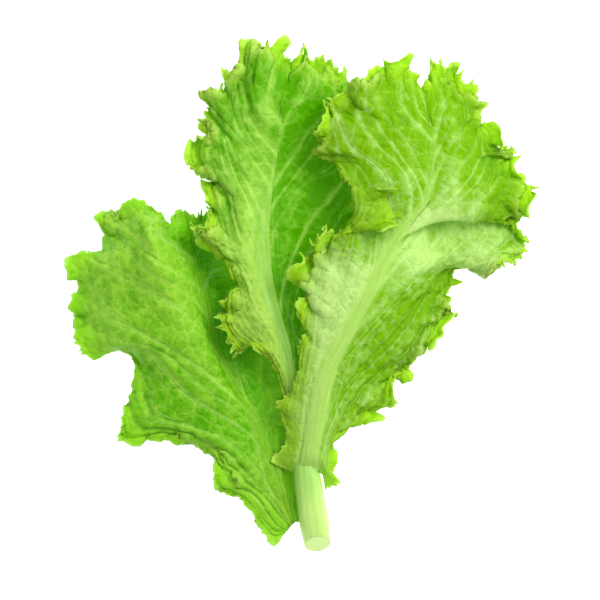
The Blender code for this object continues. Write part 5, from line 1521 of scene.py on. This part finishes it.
# Leaf colours: the darkest, below tone 0, is dark green and painted shade; the palest, above 0, is pale
# green and painted light.
# The rim colour and the groove colour are painted highlights.
LEAF_TONES = {
    "left_leaf": {
        "dark_and_shade": linear(52, 132, 20), "deep": linear(98, 178, 0), "pale": linear(172, 220, 70),
        "edge": linear(150, 216, 30), "rim_highlight": linear(190, 240, 90), "vein": linear(202, 236, 140),
        "rib": linear(144, 196, 30), "strand": linear(172, 212, 80), "glow": linear(150, 226, 0),
        "groove_with_highlight": linear(222, 250, 150), "through": 0.36, "gloss": 0.12, "net": 0.25, "crinkle": 1.0,
        "streak": 0.5, "strands_reach": 6.0,
    },
    "middle_leaf": {
        "dark_and_shade": linear(60, 142, 0), "deep": linear(100, 174, 0), "pale": linear(200, 234, 108),
        "edge": linear(184, 230, 44), "rim_highlight": linear(218, 248, 110), "vein": linear(200, 234, 120),
        "rib": linear(148, 204, 46), "strand": linear(206, 240, 156), "glow": linear(160, 232, 0),
        "groove_with_highlight": linear(222, 250, 150), "through": 0.44, "gloss": 0.08, "net": 0.05, "crinkle": 0.55,
        "streak": 0.8, "strands_reach": 2.2,
    },
    "right_leaf": {
        "dark_and_shade": linear(80, 150, 0), "deep": linear(134, 190, 0), "pale": linear(212, 240, 152),
        "edge": linear(178, 228, 36), "rim_highlight": linear(214, 246, 104), "vein": linear(206, 238, 130),
        "rib": linear(184, 226, 96), "strand": linear(212, 240, 148), "glow": linear(186, 232, 0),
        "groove_with_highlight": linear(222, 250, 150), "through": 0.44, "gloss": 0.1, "net": 0.1, "crinkle": 0.55,
        "streak": 0.75, "strands_reach": 3.5,
    },
}


def build_object():
    """Stem first, whose box places the sheet, then the leaves from the lowest to the highest."""
    points, faces, values = stem_surface()
    shift = frame_shift(points)
    stem = make_mesh_object("stem_flesh", points + shift, faces, values, stem_material())
    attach(stem, "root")
    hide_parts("stem")
    cells = int(2 * SHEET_HALF_WIDTH / HEIGHT_CELL)
    heights = np.zeros((cells, cells))
    for leaf in (LEFT_LEAF, MIDDLE_LEAF, RIGHT_LEAF):
        sides = leaf_sides(leaf)
        lay_down(leaf, sides, heights)
        heights = add_to_heights(heights, sides)
        points, faces, values = thicken(*leaf_sheet(sides))
        name = leaf["name"]
        material = leaf_material(name + "_green", LEAF_TONES[name])
        piece = make_mesh_object(name + "_blade", points + shift, faces, values, material)
        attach(piece, "root")
        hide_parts(name)
    return shift


def add_floor():
    """Wide pale sheet under the sprig."""
    bpy.ops.mesh.primitive_plane_add(size=FLOOR_WIDTH, location=(0.0, 0.0, 0.0))
    floor = bpy.context.object
    floor.name = "floor"
    shade = Shading("floor_white")
    skin = shade.node("ShaderNodeBsdfPrincipled")
    skin.inputs["Base Color"].default_value = (FLOOR_GREY, FLOOR_GREY, FLOOR_GREY, 1.0)
    skin.inputs["Roughness"].default_value = FLOOR_ROUGHNESS
    skin.inputs["Emission Color"].default_value = (1.0, 1.0, 1.0, 1.0)
    skin.inputs["Emission Strength"].default_value = FLOOR_GLOW
    output = shade.node("ShaderNodeOutputMaterial")
    shade.tree.links.new(skin.outputs[0], output.inputs["Surface"])
    floor.data.materials.append(shade.material)


def add_area_light(name, location, size, power):
    """Square soft light aimed at the sprig."""
    data = bpy.data.lights.new(name, "AREA")
    data.size = size
    data.energy = power
    lamp = bpy.data.objects.new(name, data)
    lamp.location = location
    away = -np.array(location) / np.linalg.norm(location)
    yaw = math.atan2(away[1], away[0]) - math.pi / 2
    tilt = math.acos(-away[2])
    lamp.rotation_euler = (tilt, 0.0, yaw)
    bpy.context.collection.objects.link(lamp)


def add_light():
    """Soft key from the upper right, and an even white surround."""
    add_area_light("key", KEY_PLACE, KEY_SIZE, KEY_POWER)
    world = bpy.data.worlds.new("studio")
    world.use_nodes = True
    world.node_tree.nodes["Background"].inputs["Color"].default_value = (1.0, 1.0, 1.0, 1.0)
    world.node_tree.nodes["Background"].inputs["Strength"].default_value = SURROUND_STRENGTH
    bpy.context.scene.world = world
    bpy.context.scene.view_settings.view_transform = "Standard"
    bpy.context.scene.view_settings.look = "None"


def add_camera(shift):
    """Camera straight above the middle of the photograph's frame, with the leaf tips at the top."""
    data = bpy.data.cameras.new("camera")
    data.sensor_width = SENSOR_WIDTH_MM
    data.lens = SENSOR_WIDTH_MM * CAMERA_HEIGHT / (PHOTO_WIDTH_MM * MM)
    camera = bpy.data.objects.new("camera", data)
    camera.location = (shift[0] * MM, shift[1] * MM, CAMERA_HEIGHT)
    bpy.context.collection.objects.link(camera)
    bpy.context.scene.camera = camera


sheet_shift = build_object()
add_floor()
add_light()
add_camera(sheet_shift)
